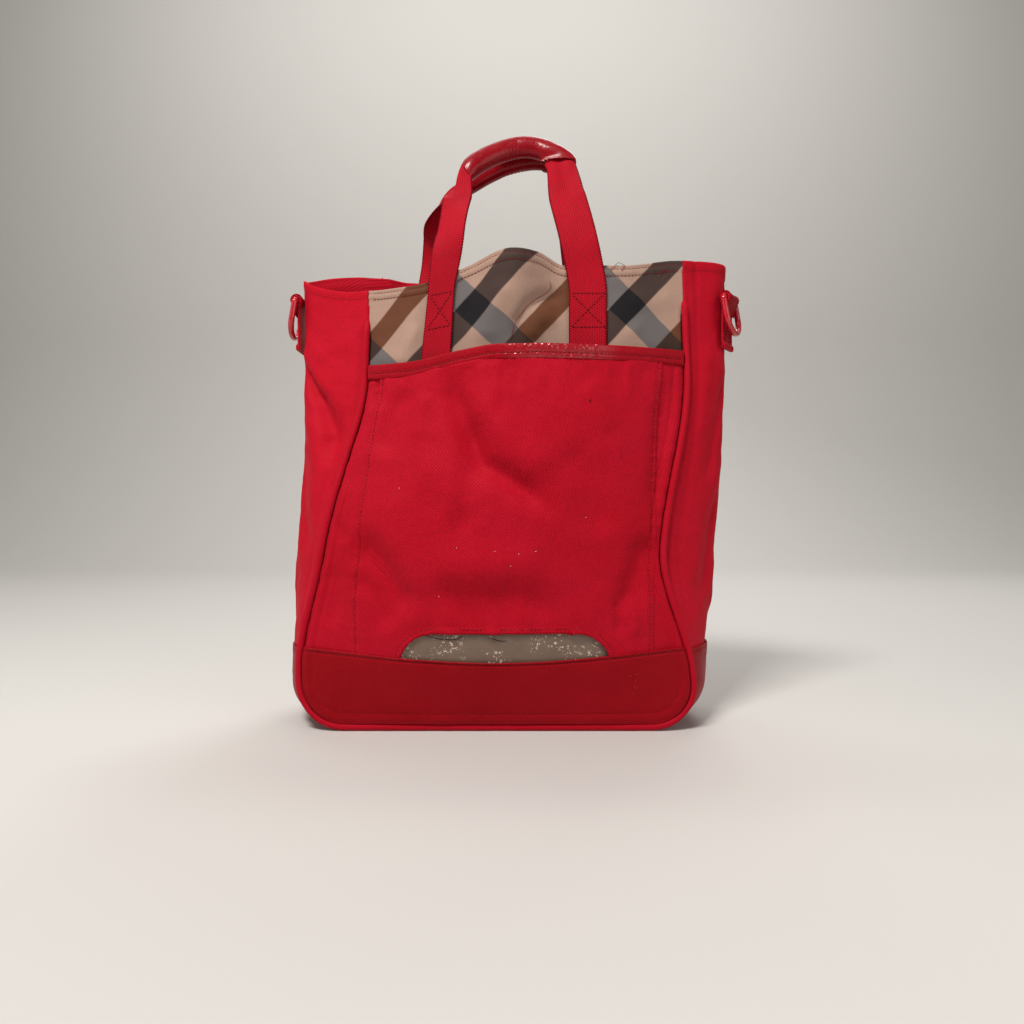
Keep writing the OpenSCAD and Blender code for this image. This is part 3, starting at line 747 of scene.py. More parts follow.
def from_window(x, z, high, wide):
    """Distance to the arch, negative inside it, and the arch's nearest point. Above high
    and further than wide aside it is only said to be far."""
    half, aside = WINDOW_W / 2, abs(x - WINDOW_X)
    if z > high or aside > half + wide:
        return 30.0, None, None
    gap, _, _, px, pz = nearest(x, z, WINDOW_EDGE)
    share = min(1.0, max(0.0, (aside - half + WINDOW_SHOULDER) / WINDOW_SHOULDER))
    top = WINDOW_RISE * math.sqrt(1 - share * share)
    inside = aside < half and z < WINDOW_FOOT + 6 + top
    return (-gap if inside else gap), px, pz


def pocket_near(x, z, a, v):
    """u, v of the pocket's point at x and height z, sought from a, v."""
    for _ in range(4):
        z2, u2 = mix(POCKET_LOW, POCKET_H, v), 2 * a - 1
        x2, z2 = panel_x(u2, z2), pocket_lift(u2, z2)
        a += (x - x2) / (2 * panel_half(z2))
        v += (z - z2) / POCKET_SPAN
    return a, v


def pocket_hole(a, v):
    """Distance from the window at u, v, and the u, v of the window's nearest point."""
    z, u = mix(POCKET_LOW, POCKET_H, v), 2 * a - 1
    gap, px, pz = from_window(panel_x(u, z), pocket_lift(u, z), 84, 4)
    return gap, (pocket_near(px, pz, a, v) if px is not None else (a, v))


pocket_lay = panel_lay(POCKET_LOW, POCKET_H, pocket_d, pocket_lift, CLOTH_T)
dress(cloth("front_pocket", twill, 210, 170, pocket_lay, pocket_relief, CLOTH_T,
            window=pocket_hole), "bag", "twill", "front_pocket_panel")
pocket_face = facing_out(pocket_lay, pocket_relief)


def seam_run(table, inset):
    """The stitching down a side seam, inset from the line in its table."""
    return path_on(pocket_face, [
        ((panel_u(along_table(z, table) + inset, z) + 1) / 2, (z - POCKET_LOW) / POCKET_SPAN)
        for z in range(60, 261, 10)], 260)


def window_run(out):
    """The stitching round the window, out from its edge."""
    run = []
    for (x0, z0), (x1, z1), (x2, z2) in zip(WINDOW_EDGE, WINDOW_EDGE[1:], WINDOW_EDGE[2:]):
        size = math.hypot(x2 - x0, z2 - z0)
        x, z = x1 + (z2 - z0) / size * out, z1 - (x2 - x0) / size * out
        if z > leather_edge(x) + 1.2:
            run.append(pocket_near(x, z, (panel_u(x, z) + 1) / 2, (z - POCKET_LOW) / POCKET_SPAN))
    return path_on(pocket_face, run, 300)


dress(stitches("pocket_stitching", red_thread, [
    seam_run(LEFT_SEAM, 2.0), seam_run(RIGHT_SEAM, -2.0), window_run(3.9)],
    every=2.9, thick=0.85), "bag", "twill")

# ---- window patch ----------------------------------------------------------------------
# A strip of coated cloth sewn in behind the window. Its taupe coat has cracked and flaked
# to a pale backing.
FILM_LOW, FILM_HIGH, FILM_LAP = 44.0, 78.0, 4.0


def film_material():
    made, add = start_material("window_film", Roughness=0.5, Coat_Weight=0.12,
                               Coat_Roughness=0.4)
    place = add("UVMap", uv_map="weave")
    patch = add("TexNoise", Vector=place, Scale=270.0, Detail=4.0, Roughness=0.66)
    where = add("TexNoise", Vector=place, Scale=34.0, Detail=2.0)
    chips = add.math("MULTIPLY", add("MapRange", patch, 0.590, 0.606),
                     add("MapRange", where, 0.46, 0.54))
    dots = add("TexVoronoi", Vector=place, Scale=430.0)
    specks = add.math("MULTIPLY", add("MapRange", dots, 0.17, 0.22, 1.0, 0.0),
                      add("MapRange", where, 0.47, 0.55))
    bare = add.math("MAXIMUM", chips, specks)
    tone = add("TexNoise", Vector=place, Scale=60.0, Detail=3.0)
    coat = add.blend(tone, (0.140, 0.090, 0.062), (0.200, 0.136, 0.098))
    add.surface(Base_Color=add.blend(bare, coat, (0.66, 0.54, 0.46)),
                Roughness=add("MapRange", bare, 0.0, 1.0, 0.48, 0.85))
    add.bump(0.5, 0.00025, add.math("MULTIPLY_ADD", bare, -1.0, tone))
    return made


def film_lay(a, v):
    """The film spans the arch with a lap behind its edge."""
    x = WINDOW_X + (2 * a - 1) * (WINDOW_W / 2 + FILM_LAP)
    z = mix(FILM_LOW, FILM_HIGH, v)
    behind = 0.35 + 2.4 * ease((v - 0.72) / 0.2)
    return Vector((x, -(pocket_d(x, z + 6) - behind), z + 0.5 * panel_u(x, z + 6)))


dress(cloth("window_film", film_material(), 100, 24, film_lay,
            lambda a, v: 0.22 * ripple(a * 154, v * 34, 12.4, 11) - 0.15, 0.4),
      "bag", "window_film", "window_patch")

# ---- pocket binding ----------------------------------------------------------------------
# A strip of glossy leather folded over the pocket's upper edge and sewn through. It is
# creased where the pocket stands out most, and cracked in one place.


def leather_group():
    """Leather: Crease is its worn lines, Patch its uneven colour, and Height has its pores."""
    group, add, given, out = start_group(
        "Leather", {"Grain scale": 900.0, "Crease scale": 120.0}, ("Crease", "Patch", "Height"))
    place, size = given["Vector"], given["Crease scale"]
    cells = add("TexVoronoi", feature="DISTANCE_TO_EDGE", Vector=place, Scale=given["Grain scale"])
    warp = add("TexNoise", Vector=place, Scale=size, Detail=3.0)
    moved = add("VectorMath", place, add.scale(warp.outputs["Color"], 0.006), operation="ADD")
    lines = add("TexVoronoi", feature="DISTANCE_TO_EDGE", Vector=moved, Scale=size)
    crease = add("MapRange", lines, 0.0, 0.10, 1.0, 0.0)
    tone = add("TexNoise", Vector=place, Scale=22.0, Detail=4.0, Roughness=0.6)
    height = add.math("MULTIPLY_ADD", crease, -1.4, add("MapRange", cells, 0.0, 0.12))
    for name, value in (("Crease", crease), ("Patch", tone), ("Height", height)):
        add.feed(value, out[name])
    return group


hide = leather_group()


def leather_material(name, light, deep, rough, coat, grain, crease, depth):
    """Dyed leather: darker in its creases, paler and duller where it is scuffed."""
    made, add = start_material(name, Coat_Weight=coat, Coat_Roughness=0.20,
                               Specular_IOR_Level=0.12, Specular_Tint=(1.0, 0.5, 0.55))
    place = whole(add)
    skin = add("Group", node_tree=hide, Vector=place, Grain_scale=grain,
               Crease_scale=crease).outputs
    tone = add.blend(skin["Patch"], deep, light)
    lined = add.blend(skin["Crease"], tone, add.blend(1.0, tone, (0.80, 0.7, 0.74), "MULTIPLY"))
    rubbed = add("TexNoise", Vector=place, Scale=75.0, Detail=5.0, Roughness=0.7)
    scuffs = add("MapRange", rubbed, 0.62, 0.72, 0.0, 0.06)
    add.surface(Base_Color=add.blend(scuffs, lined, (0.50, 0.05, 0.07)),
                Roughness=add("MapRange", skin["Patch"], 0.3, 0.7, rough - 0.07, rough + 0.08))
    add.bump(0.5, depth, skin["Height"])
    return made, add


glossy_leather, add = leather_material("binding_leather", (0.40, 0.0045, 0.014),
                                       (0.29, 0.0025, 0.008), 0.44, 0.0, 1100.0, 300.0, 0.00008)
# the polished stretch where a hand goes into the pocket
where = add("SeparateXYZ", whole(add))
polish = add.math("MULTIPLY", add("MapRange", where, 0.000, 0.022),
                  add("MapRange", where, 0.060, 0.085, 1.0, 0.0))
add.surface(Coat_Weight=add("MapRange", polish, 0.0, 1.0, 0.02, 1.0))


def tube(name, material, around, along, lay, closed=True, girth=1.0, inward=False):
    """A round piece. lay(a, t) gives its surface in millimetres, a going once round. Its
    faces look inwards where inward is set."""
    bm = bmesh.new()
    bmesh.ops.create_grid(bm, x_segments=around, y_segments=along, size=0.5)
    weave = bm.loops.layers.uv.new("weave")
    spot = {vert: (vert.co.x + 0.5, vert.co.y + 0.5) for vert in bm.verts}
    for vert, (a, t) in spot.items():
        vert.co = lay(a, t)
    middles = sorted({round(t, 6): vert.co.copy()
                      for vert, (a, t) in spot.items() if a < 1e-6}.items())
    reach = dict(zip([t for t, _ in middles], measured([point for _, point in middles])))
    for face in bm.faces:
        for loop in face.loops:
            a, t = spot[loop.vert]
            loop[weave].uv = (a * girth * MM, reach[round(t, 6)] * MM)
    bmesh.ops.remove_doubles(bm, verts=bm.verts, dist=1e-4)
    if closed:
        bmesh.ops.holes_fill(bm, edges=[edge for edge in bm.edges if edge.is_boundary])
    bmesh.ops.recalc_face_normals(bm, faces=bm.faces)
    if inward:
        bmesh.ops.reverse_faces(bm, faces=bm.faces)
    return put(name, material, bm, MM)


def measured(points):
    """How far along a line each of its points is."""
    reach = [0.0]
    for a, b in zip(points, points[1:]):
        reach.append(reach[-1] + (b - a).length)
    return reach


BIND_LOW, BIND_TOP, BIND_FAT, BIND_GROOVE = POCKET_H - 1.0, POCKET_H + 9.3, 1.55, 0.17


def binding_lay(a, t):
    """Round the folded strip at t along the pocket's edge."""
    u = 2 * t - 1
    angle = 2 * math.pi * a
    c, s = math.cos(angle), math.sin(angle)
    tall = (BIND_TOP - BIND_LOW) / 2
    z = (BIND_LOW + BIND_TOP) / 2
    x = panel_x(u, z)
    puff = 0.35 * noise.noise(Vector((x / 9, 0, 3.3))) * ease((1 - abs(u)) / 0.05)
    creased = ease((x + 8) / 20) * ease((74 - x) / 14)
    # it rolls back at its top where it is polished
    out = BIND_FAT * abs(c) ** mix(0.35, 0.80 if s > 0 else 0.35, creased) * (1 if c > 0 else -1)
    up = tall * (abs(s) ** 0.8) * (1 if s > 0 else -1)
    # the mouth gapes a little: the strip leans forward at its top
    y = pocket_d(x, POCKET_H) + CLOTH_T / 2 + puff + out + 0.06 * (up + tall)
    if c > 0:
        crack = 0.9 * hill(x - 68 - 1.5 * s, 0.7) * (s + 0.2)
        y += crack - 0.7 * hill(s + BIND_GROOVE, 0.09) \
            + 0.50 * creased * noise.noise(Vector((x / 2.2, s * 1.6, 5.0)))
    return Vector((x, -y, pocket_lift(u, z) + up + 0.4 * noise.noise(Vector((x / 22, 1, 7)))))


dress(tube("pocket_binding", glossy_leather, 40, 420, binding_lay),
      "bag", "binding_leather", "pocket_binding")
groove_at = 1 - math.asin(BIND_GROOVE) / (2 * math.pi)
dress(stitches("binding_stitching", shade_darkened_thread, [
    [(binding_lay(groove_at, 0.01 + 0.98 * i / 320), Vector((0, -1, 0))) for i in range(321)]],
    every=2.9, thick=0.85), "bag", "binding_leather")

# ---- front base leather ------------------------------------------------------------------
# The band of smooth leather over the foot of the front, sewn down along its top edge. Its
# edge dips in the middle, and it is scuffed from use.
SKIN_T = 1.4
SKIN_SPAN = LEATHER_H - wall_foot
SKIN_DENTS = (
    (((-80, 40), (-60, 28), (-30, 22)), 9.0, -0.6, 0.0),
    (((40, 44), (66, 30), (96, 26)), 10.0, -0.7, 0.0),
    (((-120, 50), (-112, 34), (-108, 20)), 7.0, 0.5, 0.0))
base_leather = leather_material("base_leather", (0.345, 0.0040, 0.0110), (0.235, 0.0012, 0.0035),
                                0.46, 0.02, 1500.0, 420.0, 0.00004)[0]


def skin_relief(a, v):
    z, u = mix(wall_foot, LEATHER_H, v), 2 * a - 1
    x = panel_x(u, z)
    down = LEATHER_H - z
    edge = ease((1 - abs(u)) / 0.06)
    seam = -0.95 * hill(down - 2.4, 0.8) - 0.9 * ease((0.9 - down) / 1.2) \
        + turned_edge(from_edge(x, z)) * mix(0.4, 0.8, ease((z - 12) / 14))
    tuck = 0.12 * noise.noise(Vector((x / 4, z / 16, 3))) * ease((12 - down) / 8)
    return seam + edge * (folds(x, z, SKIN_DENTS) + 0.55 * ripple(x, z, 14.2, 48)) + tuck


skin_lay = panel_lay(wall_foot, LEATHER_H, pocket_d, leather_lift, CLOTH_T + SKIN_T)
skin_face = facing_out(skin_lay, skin_relief)
dress(cloth("front_base_leather", base_leather, 200, 84, skin_lay, skin_relief, SKIN_T, lean=1.5),
      "bag", "base_leather", "front_base_leather")
dress(stitches("front_leather_stitching", shade_darkened_thread, [row_on(skin_face, 1 - 2.4 / SKIN_SPAN)],
               every=3.1, length=2.3, thick=0.95), "bag", "base_leather")

# ---- back ------------------------------------------------------------------------------
# The back of the bag: one panel of the same twill from the base to the hem, turned over
# and stitched at the top, with the same leather band round its foot.
STRAP_LOW = POCKET_H - STRAP_TUCK
BACK_SPAN = BODY_H - wall_foot
HEM_ROW, FOOT_ROW = 6.5, 2.6
BACK_FOLDS = (
    (((-92, 252), (-62, 222), (-40, 180)), 12.0, -3.0, 0.4),
    (((104, 262), (72, 232), (50, 190), (46, 146)), 12.0, -3.4, -0.4),
    (((-20, 292), (-6, 250), (4, 214)), 11.0, 1.6, 0.4),
    (((-104, 152), (-60, 130), (-10, 126), (34, 134)), 13.0, -2.8, 0.3),
    (((-104, 92), (-70, 104), (-40, 118)), 9.0, 1.5, 0.4),
    (((100, 122), (64, 108), (28, 82)), 10.0, -2.8, 0.4),
    (((110, 200), (96, 170), (98, 130)), 7.0, -1.4, 0.5),
    (((-84, 300), (-80, 262), (-92, 226)), 7.0, -1.3, 0.4))


def back_relief(a, v):
    z, u = mix(wall_foot, BODY_H, v), 2 * a - 1
    x = panel_x(u, z)
    edge = ease((1 - abs(u)) / 0.06)
    # the straps hold the cloth flat where they are sewn on
    free = max(ease((strap_clear(x, REAR_X, REAR_W) + 1) / 12), ease((STRAP_LOW - z) / 14))
    return hem_relief(BODY_H - z, HEM_ROW) * free + free * edge * (
        folds(x, z, BACK_FOLDS) + 1.6 * ripple(x, z, 21.5, 66) + 0.4 * ripple(x, z, 2.5, 18))


back_out = to_seam(panel_lay(wall_foot, BODY_H, back_wall_d, back_hem, 0.0, 1), wall_foot)
dress(cloth("back_panel", twill, 150, 170, back_out, back_relief, CLOTH_T, turn=True, lean=1.2),
      "bag", "twill", "back_panel")
back_skin_lay = panel_lay(wall_foot, LEATHER_H, back_wall_d, leather_lift, 0.3 + SKIN_T, 1)
dress(cloth("back_base_leather", base_leather, 160, 40, back_skin_lay, skin_relief, SKIN_T,
            turn=True, lean=1.5), "bag", "base_leather", "back_base_leather")
dress(stitches("back_stitching", red_thread, [
    row_on(facing_out(back_out, back_relief, -1), 1 - HEM_ROW / BACK_SPAN),
    row_on(facing_out(back_skin_lay, skin_relief, -1), 1 - FOOT_ROW / SKIN_SPAN)]),
    "bag", "twill")

# ---- side strip --------------------------------------------------------------------------
# The boxed strip between front and back, folded outwards at each side, with its lower ends
# in leather that turns under the rounded corners. A side is -1 at the left, 1 at the right.
SIDES = ((-1, "left"), (1, "right"))
SIDE_HALF = 60.0
STRIP_Z = 0.3
TWILL_LOW, FOOT_SPAN = LEATHER_H - 4, LEATHER_H - STRIP_Z - CORNER
LEFT_FOLDS = (
    (((-3, 272), (-20, 257), (-34, 241), (-45, 216), (-49, 186)), 6.5, -6.4, 0.7),
    (((-2, 290), (-22, 270), (-38, 254), (-52, 226)), 8.0, 1.8, 0.4),
    (((-14, 236), (-30, 214), (-42, 184), (-48, 150)), 9.0, 2.2, 0.4),
    (((-10, 300), (-24, 284), (-42, 276)), 8.0, 1.4, 0.4),
    (((-10, 200), (-22, 168), (-34, 140), (-50, 118)), 9.0, -2.4, 0.5),
    (((-30, 120), (-22, 96), (-30, 70)), 8.0, -1.6, 0.4),
    (((6, 250), (22, 222), (44, 206)), 10.0, -3.0, 0.4),
    (((8, 180), (28, 160), (46, 150)), 10.0, 2.0, 0.4),
    (((14, 120), (30, 100), (50, 92)), 9.0, -2.0, 0.4))
RIGHT_FOLDS = (
    (((-8, 262), (-22, 240), (-30, 206), (-34, 170)), 8.0, -2.4, 0.5),
    (((-40, 280), (-46, 240), (-48, 200)), 6.0, 1.3, 0.4),
    (((-12, 178), (-22, 148), (-26, 112), (-40, 84)), 8.0, -2.6, 0.5),
    (((-8, 130), (-14, 104), (-12, 76)), 7.0, 1.4, 0.4),
    (((6, 268), (24, 236), (46, 224)), 10.0, -2.8, 0.4),
    (((10, 200), (26, 168), (48, 160)), 10.0, 1.8, 0.4),
    (((12, 130), (32, 106), (52, 100)), 9.0, -2.2, 0.4))


def strip_x(side, v, z):
    seam = panel_mid(z) + side * panel_full(z)
    crest = 12 * ease(z / POCKET_H) + side * (CREST_W + 7 * z / BODY_H) / 2
    crest -= side * 3.5 * ease((110 - z) / 70)
    full = seam + (crest - seam) * (1 - abs(v) ** 2.2)
    up = STRIP_Z + CORNER - z
    if up <= 0:
        return full
    foot = panel_mid(z) + side * (panel_full(z) - CORNER)
    return foot + (full - foot) * math.sqrt(max(0.0, 1 - (up / CORNER) ** 2))


def strip_y(v, z):
    return v * (seam_depth(z) - EDGE_GAP + 2.8 * v ** 20 * ease((z - 296) / 14))


def strip_normal(side, v, z):
    dx = strip_x(side, v + 0.02, z) - strip_x(side, v - 0.02, z)
    dy = strip_y(v + 0.02, z) - strip_y(v - 0.02, z)
    return Vector((side * dy, -side * dx, 0)).normalized()


def strip_at(side, v, z, out):
    if side < 0:
        drop = mix(6, LEFT_DROP, ease(-v)) if v < 0 else mix(6, -REAR_LEFT_RISE, ease(v))
    else:
        drop = 4.2 * hill(v, 0.10) - 3.4 * (1 - v ** 4)
    return Vector((strip_x(side, v, z), strip_y(v, z), z - drop * fade(z))) \
        + out * strip_normal(side, v, z)


def corner_at(side, v, turn, out):
    """A point of the lower corner, where turn goes from 0 at the base to 90 degrees."""
    z = STRIP_Z + CORNER * (1 - math.cos(turn))
    level = strip_normal(side, v, STRIP_Z + CORNER)
    normal = Vector((level.x * math.sin(turn), level.y * math.sin(turn), -math.cos(turn)))
    return Vector((strip_x(side, v, z), strip_y(v, z), z)) + out * normal.normalized()


def gusset_relief(side):
    table = LEFT_FOLDS if side < 0 else RIGHT_FOLDS

    def relief(a, t):
        v, z = 2 * a - 1, mix(TWILL_LOW, BODY_H, t)
        edge = ease((1 - abs(v)) / 0.10)
        still = ease((BODY_H - z) / 24) if side > 0 else 1.0
        welt = 0.7 * turned_edge((1 - abs(v)) * SIDE_HALF + 2)
        return hem_relief(BODY_H - z, HEM_ROW) + welt + edge * (
            folds(v * SIDE_HALF, z, table) * still + 1.2 * ripple(v * SIDE_HALF, z, 30 + side, 46)
            + 0.3 * ripple(v * SIDE_HALF, z, 33 + side, 15))
    return relief


def gusset_lay(side):
    return lambda a, t: strip_at(side, 2 * a - 1, mix(TWILL_LOW, BODY_H, t), 0.0)


def foot_lay(side):
    """The leather end: round the corner in its first half, then up to the seam."""
    def lay(a, t):
        v = 2 * a - 1
        if t < 0.5:
            turn = math.pi * t
            return corner_at(side, v, turn, mix(0.3, 1.5, math.sin(turn)))
        return strip_at(side, v, mix(STRIP_Z + CORNER, LEATHER_H, 2 * t - 1), 1.5)
    return lay


def foot_relief(side):
    def relief(a, t):
        down = FOOT_SPAN * 2 * (1 - t)
        edge = ease((1 - abs(2 * a - 1)) / 0.1) * ease(t / 0.3)
        return -0.4 * hill(down - FOOT_ROW, 0.9) - 0.7 * ease((0.9 - down) / 1.2) \
            + edge * 0.7 * ripple(a * 120, t * 76, 40 + side, 30)
    return relief


side_twill = twill_material("side_twill", (0.48, 0.0045, 0.0165), (0.42, 0.003, 0.012),
                            raised=0.00006)
side_rows = []
# name, slot, material, lay, relief, columns, rows, thickness, height of its cloth, row of
# stitches below its upper edge as a share of its height, points along it
for piece, slot, material, lay_of, relief_of, cols, rows, thick, tall, row, count in (
        ("gusset_", "twill", side_twill, gusset_lay, gusset_relief, 90, 190, CLOTH_T, 284,
         HEM_ROW / (BODY_H - TWILL_LOW), 200),
        ("gusset_base_", "base_leather", base_leather, foot_lay, foot_relief, 60, 60, 1.3, 76,
         FOOT_ROW / (2 * FOOT_SPAN), 120)):
    for side, word in SIDES:
        lay, relief = lay_of(side), relief_of(side)
        dress(cloth(piece + word, material, cols, rows, lay, relief, thick, turn=side < 0,
                    flat=lambda a, t: ((2 * a - 1) * SIDE_HALF, t * tall)),
              "bag", slot, piece + word)
        side_rows.append(row_on(facing_out(lay, relief, side), 1 - row, 0.02, count))
dress(stitches("side_stitching", red_thread, side_rows), "bag", "twill")

# ---- base --------------------------------------------------------------------------------
# The leather bottom that the bag stands on, and the stiff board that keeps it flat.
FOOT_HALF = panel_full(0) - CORNER - 0.3


def bottom_lay(a, t):
    return Vector(((2 * a - 1) * FOOT_HALF, (2 * t - 1) * (DEPTH / 2 - EDGE_GAP), 0.25))


def bottom_relief(a, t):
    return 0.12 * ripple(a * 220, t * 84, 50, 22) \
        - 0.15 * hill(min(a, 1 - a) * 2 * FOOT_HALF - 3, 1.2)


dress(cloth("bottom_panel", base_leather, 90, 36, bottom_lay, bottom_relief, 1.2, turn=True,
            flat=lambda a, t: (a * 220, t * 84)), "bag", "base_leather", "bottom_panel")

board, add = start_material("board", Roughness=0.9, Specular_IOR_Level=0.2)
pulp = add("TexNoise", Vector=whole(add), Scale=500.0, Detail=6.0)
add.surface(Base_Color=add.blend(pulp, (0.035, 0.032, 0.030), (0.075, 0.068, 0.060)))
add.bump(0.4, 0.0002, pulp)
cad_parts["base_board"].data.materials.clear()
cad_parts["base_board"].data.materials.append(board)

# ---- lining and mouth facing ---------------------------------------------------------------
# The inside: a plain dark red lining that hangs a little loose, sewn at the top to a
# facing of twill.
FLOOR_Z, FACING_H = 4.7, 28.0
LINING_LOW, LINING_TOP = FLOOR_Z + 0.4, BODY_H - FACING_H + 2
DENTS = {side: gusset_relief(side) for side, _ in SIDES}


def inside(a, z, gap):
    """A point at a, once round the inside of the walls at height z, gap inside the cloth."""
    k = (a % 1.0) * 4
    if k < 1.5:
        u = k / 0.75 - 1
        x = panel_x(u, z, EDGE_GAP + gap + 2)
        dent = (min(0.0, check_relief((u + 1) / 2, (z - CHECK_LOW) / (BODY_H - CHECK_LOW)))
                if z > CHECK_LOW else -2.4)
        return Vector((x, -(front_wall_d(x, z) + WALL_OFF - CLOTH_T - gap - 3 * u ** 8 + dent),
                       front_hem(u, z)))
    if 2 <= k < 3.5:
        u = 1 - (k - 2) / 0.75
        x = panel_x(u, z, EDGE_GAP + gap + 2)
        share = (z - wall_foot) / BACK_SPAN
        dent = min(0.0, back_relief((u + 1) / 2, share))
        return Vector((x, back_wall_d(x, z) - CLOTH_T - gap - 3 * u ** 8 + dent,
                       back_out((u + 1) / 2, share).z))
    side, v = (1, (k - 1.5) / 0.25 - 1) if k < 2 else (-1, 1 - (k - 3.5) / 0.25)
    v *= 0.9
    dent = (min(0.0, DENTS[side]((v + 1) / 2, (z - TWILL_LOW) / (BODY_H - TWILL_LOW)))
            if z > TWILL_LOW else 0.0)
    place = strip_at(side, v, max(z, CORNER_Z), -CLOTH_T - gap + dent)
    if z < CORNER_Z:
        foot = panel_mid(z) + side * (panel_full(z) - CORNER)
        reach = CORNER - CLOTH_T - gap - 1
        bow = math.sqrt(max(0.0, 1 - ((CORNER_Z - z) / reach) ** 2))
        place = Vector((foot + (place.x - foot) * bow, place.y, z))
    return place


def uneven(a, z, size, tall):
    """Noise that closes on itself, once round the bag."""
    return noise.noise(Vector((math.cos(2 * math.pi * a) * size,
                               math.sin(2 * math.pi * a) * size, z / tall)))


def lining_lay(a, t):
    if t < 0.12:
        rim = inside(a, LINING_LOW, 1.6)
        return Vector((0, 0, FLOOR_Z + 0.3)).lerp(Vector((rim.x, rim.y, LINING_LOW)), t / 0.12)
    z = mix(LINING_LOW, LINING_TOP, ((t - 0.12) / 0.88) ** 1.15)
    slack = 1.0 + uneven(a, z, 6, 90)
    return inside(a, z, 1.4 + slack * ease((z - 8) / 30) * ease((BODY_H - FACING_H - z) / 20))


def facing_lay(a, t):
    z = mix(BODY_H - FACING_H, BODY_H - 0.2, t)
    slack = 0.5 * uneven(a, z, 9, 30)
    return inside(a, z, mix(1.1 + slack, -0.1, ease((z - BODY_H + 7) / 6)))


lining_cloth, add = start_material("lining_cloth", Roughness=0.7, Sheen_Weight=0.08,
                                   Sheen_Tint=(1.0, 0.1, 0.15), Specular_IOR_Level=0.08)
yarn = weave_node(add, 0.0007, 1.5, 0.2)
add.surface(Base_Color=add.blend(yarn["Height"], (0.125, 0.003, 0.008), (0.210, 0.005, 0.014)))
add.bump(0.4, 0.0001, yarn["Height"])
for name, material, slot, cols, rows, lay, thick in (
        ("lining", lining_cloth, "lining_cloth", 200, 90, lining_lay, 0.5),
        ("mouth_facing", twill, "twill", 260, 20, facing_lay, 0.6)):
    dress(thicken(tube(name, material, cols, rows, lay, closed=False, girth=640, inward=True),
                  thick), "bag", slot, name)

# ---- piping --------------------------------------------------------------------------------
# A cord wrapped in a bias strip of twill, sewn into the front and back seams from the hem
# down round the base and up again.
PIPING_R, PIPING_STEPS = 2.5, 520
piping_cloth = twill_material("piping_cloth", (0.47, 0.0043, 0.016), (0.35, 0.0022, 0.0095),
                              0.0014, 0.00010)


def smooth_path(points, count):
    """count + 1 points evenly spaced along a line, eased through its corners."""
    reach = measured(points)
    made, k = [], 0
    for i in range(count + 1):
        s = reach[-1] * i / count
        while k < len(points) - 2 and reach[k + 1] < s:
            k += 1
        made.append(points[k].lerp(points[k + 1], (s - reach[k]) / (reach[k + 1] - reach[k])))
    for _ in range(3):
        made = [made[0]] + [(a + 2 * b + c) / 4
                            for a, b, c in zip(made, made[1:], made[2:])] + [made[-1]]
    return made


def seam_line(side):
    """The line of the front seam, at side -1, or the back seam, at side 1."""
    line = []
    for edge in (-1, 1):
        half = []
        for i in range(101):
            z = mix(BODY_H + 0.3, CORNER_Z, i / 100)
            drop = (LEFT_DROP if side < 0 else -REAR_LEFT_RISE) * fade(z) if edge < 0 else 0
            # near the hem the piping sinks into the seam
            sunk = 3.2 * ease((z - BODY_H + 34) / 8)
            half.append(Vector((panel_mid(z) + edge * panel_full(z),
                                side * (seam_depth(z) + 0.3 - sunk), z - drop)))
        for i in range(1, 25):
            turn = math.radians(3.75 * i)
            z = SEAM_Z + CORNER * (1 - math.sin(turn))
            half.append(Vector((panel_mid(z) + edge * (panel_full(z) - CORNER
                                                       + CORNER * math.cos(turn)),
                                side * (seam_depth(z) + 0.3), z + 0.4 * math.sin(turn))))
        line += half if edge < 0 else half[::-1]
    return line


def along_line(line, t):
    """The place at t along a line of points, its direction and the way across it."""
    last = len(line) - 1
    i = min(last, int(round(t * last)))
    ahead = (line[min(last, i + 1)] - line[max(0, i - 1)]).normalized()
    return line[i], ahead, Vector((0, 1, 0)).cross(ahead).normalized()


def wrapped(line, radius, seed):
    """Lays a round piece on a line, a little uneven, as cloth over a cord is."""
    def lay(a, t):
        here, ahead, across = along_line(line, t)
        angle = 2 * math.pi * a
        lump = 1 + 0.05 * noise.noise(here / 11 + Vector((seed, 0, 0)))
        ends = 1 - 0.78 * ease((here.z - BODY_H + 34) / 8) + 0.16 * ease((14 - here.z) / 10)
        return here + (across * math.cos(angle)
                       + ahead.cross(across) * math.sin(angle)) * radius * lump * ends
    return lay


for side, seed, name in ((-1, 1, "front_piping"), (1, 2, "back_piping")):
    lay = wrapped(smooth_path(seam_line(side), PIPING_STEPS), PIPING_R, seed)
    dress(tube(name + "_cord", piping_cloth, 16, PIPING_STEPS, lay, girth=15.7),
          "bag", "piping_cloth", name)

# ---- handles ---------------------------------------------------------------------------
# Two straps of nylon webbing, each one length from a sewn end on the wall over the top and
# down to the other end. Where a grip of leather holds it, the webbing is folded in half.


class Handle:
    """What the two handles don't share. side is -1 at the front and 1 at the back, knots
    are points of the arch as shares of its half width and its rise, and the grip and the
    fold of the left leg begin at a knot."""

    def __init__(self, word, side, mid, width, rise, grip_from, fold_from, fold_over, knots):
        self.word, self.side, self.mid, self.width, self.rise = word, side, mid, width, rise
        self.grip_from, self.fold_from, self.fold_over = grip_from, fold_from, fold_over
        self.knots = [Vector(knot) for knot in knots]

    def wall_d(self, x, z):
        return front_wall_d(x, z) + WALL_OFF if self is FRONT else back_wall_d(x, z)


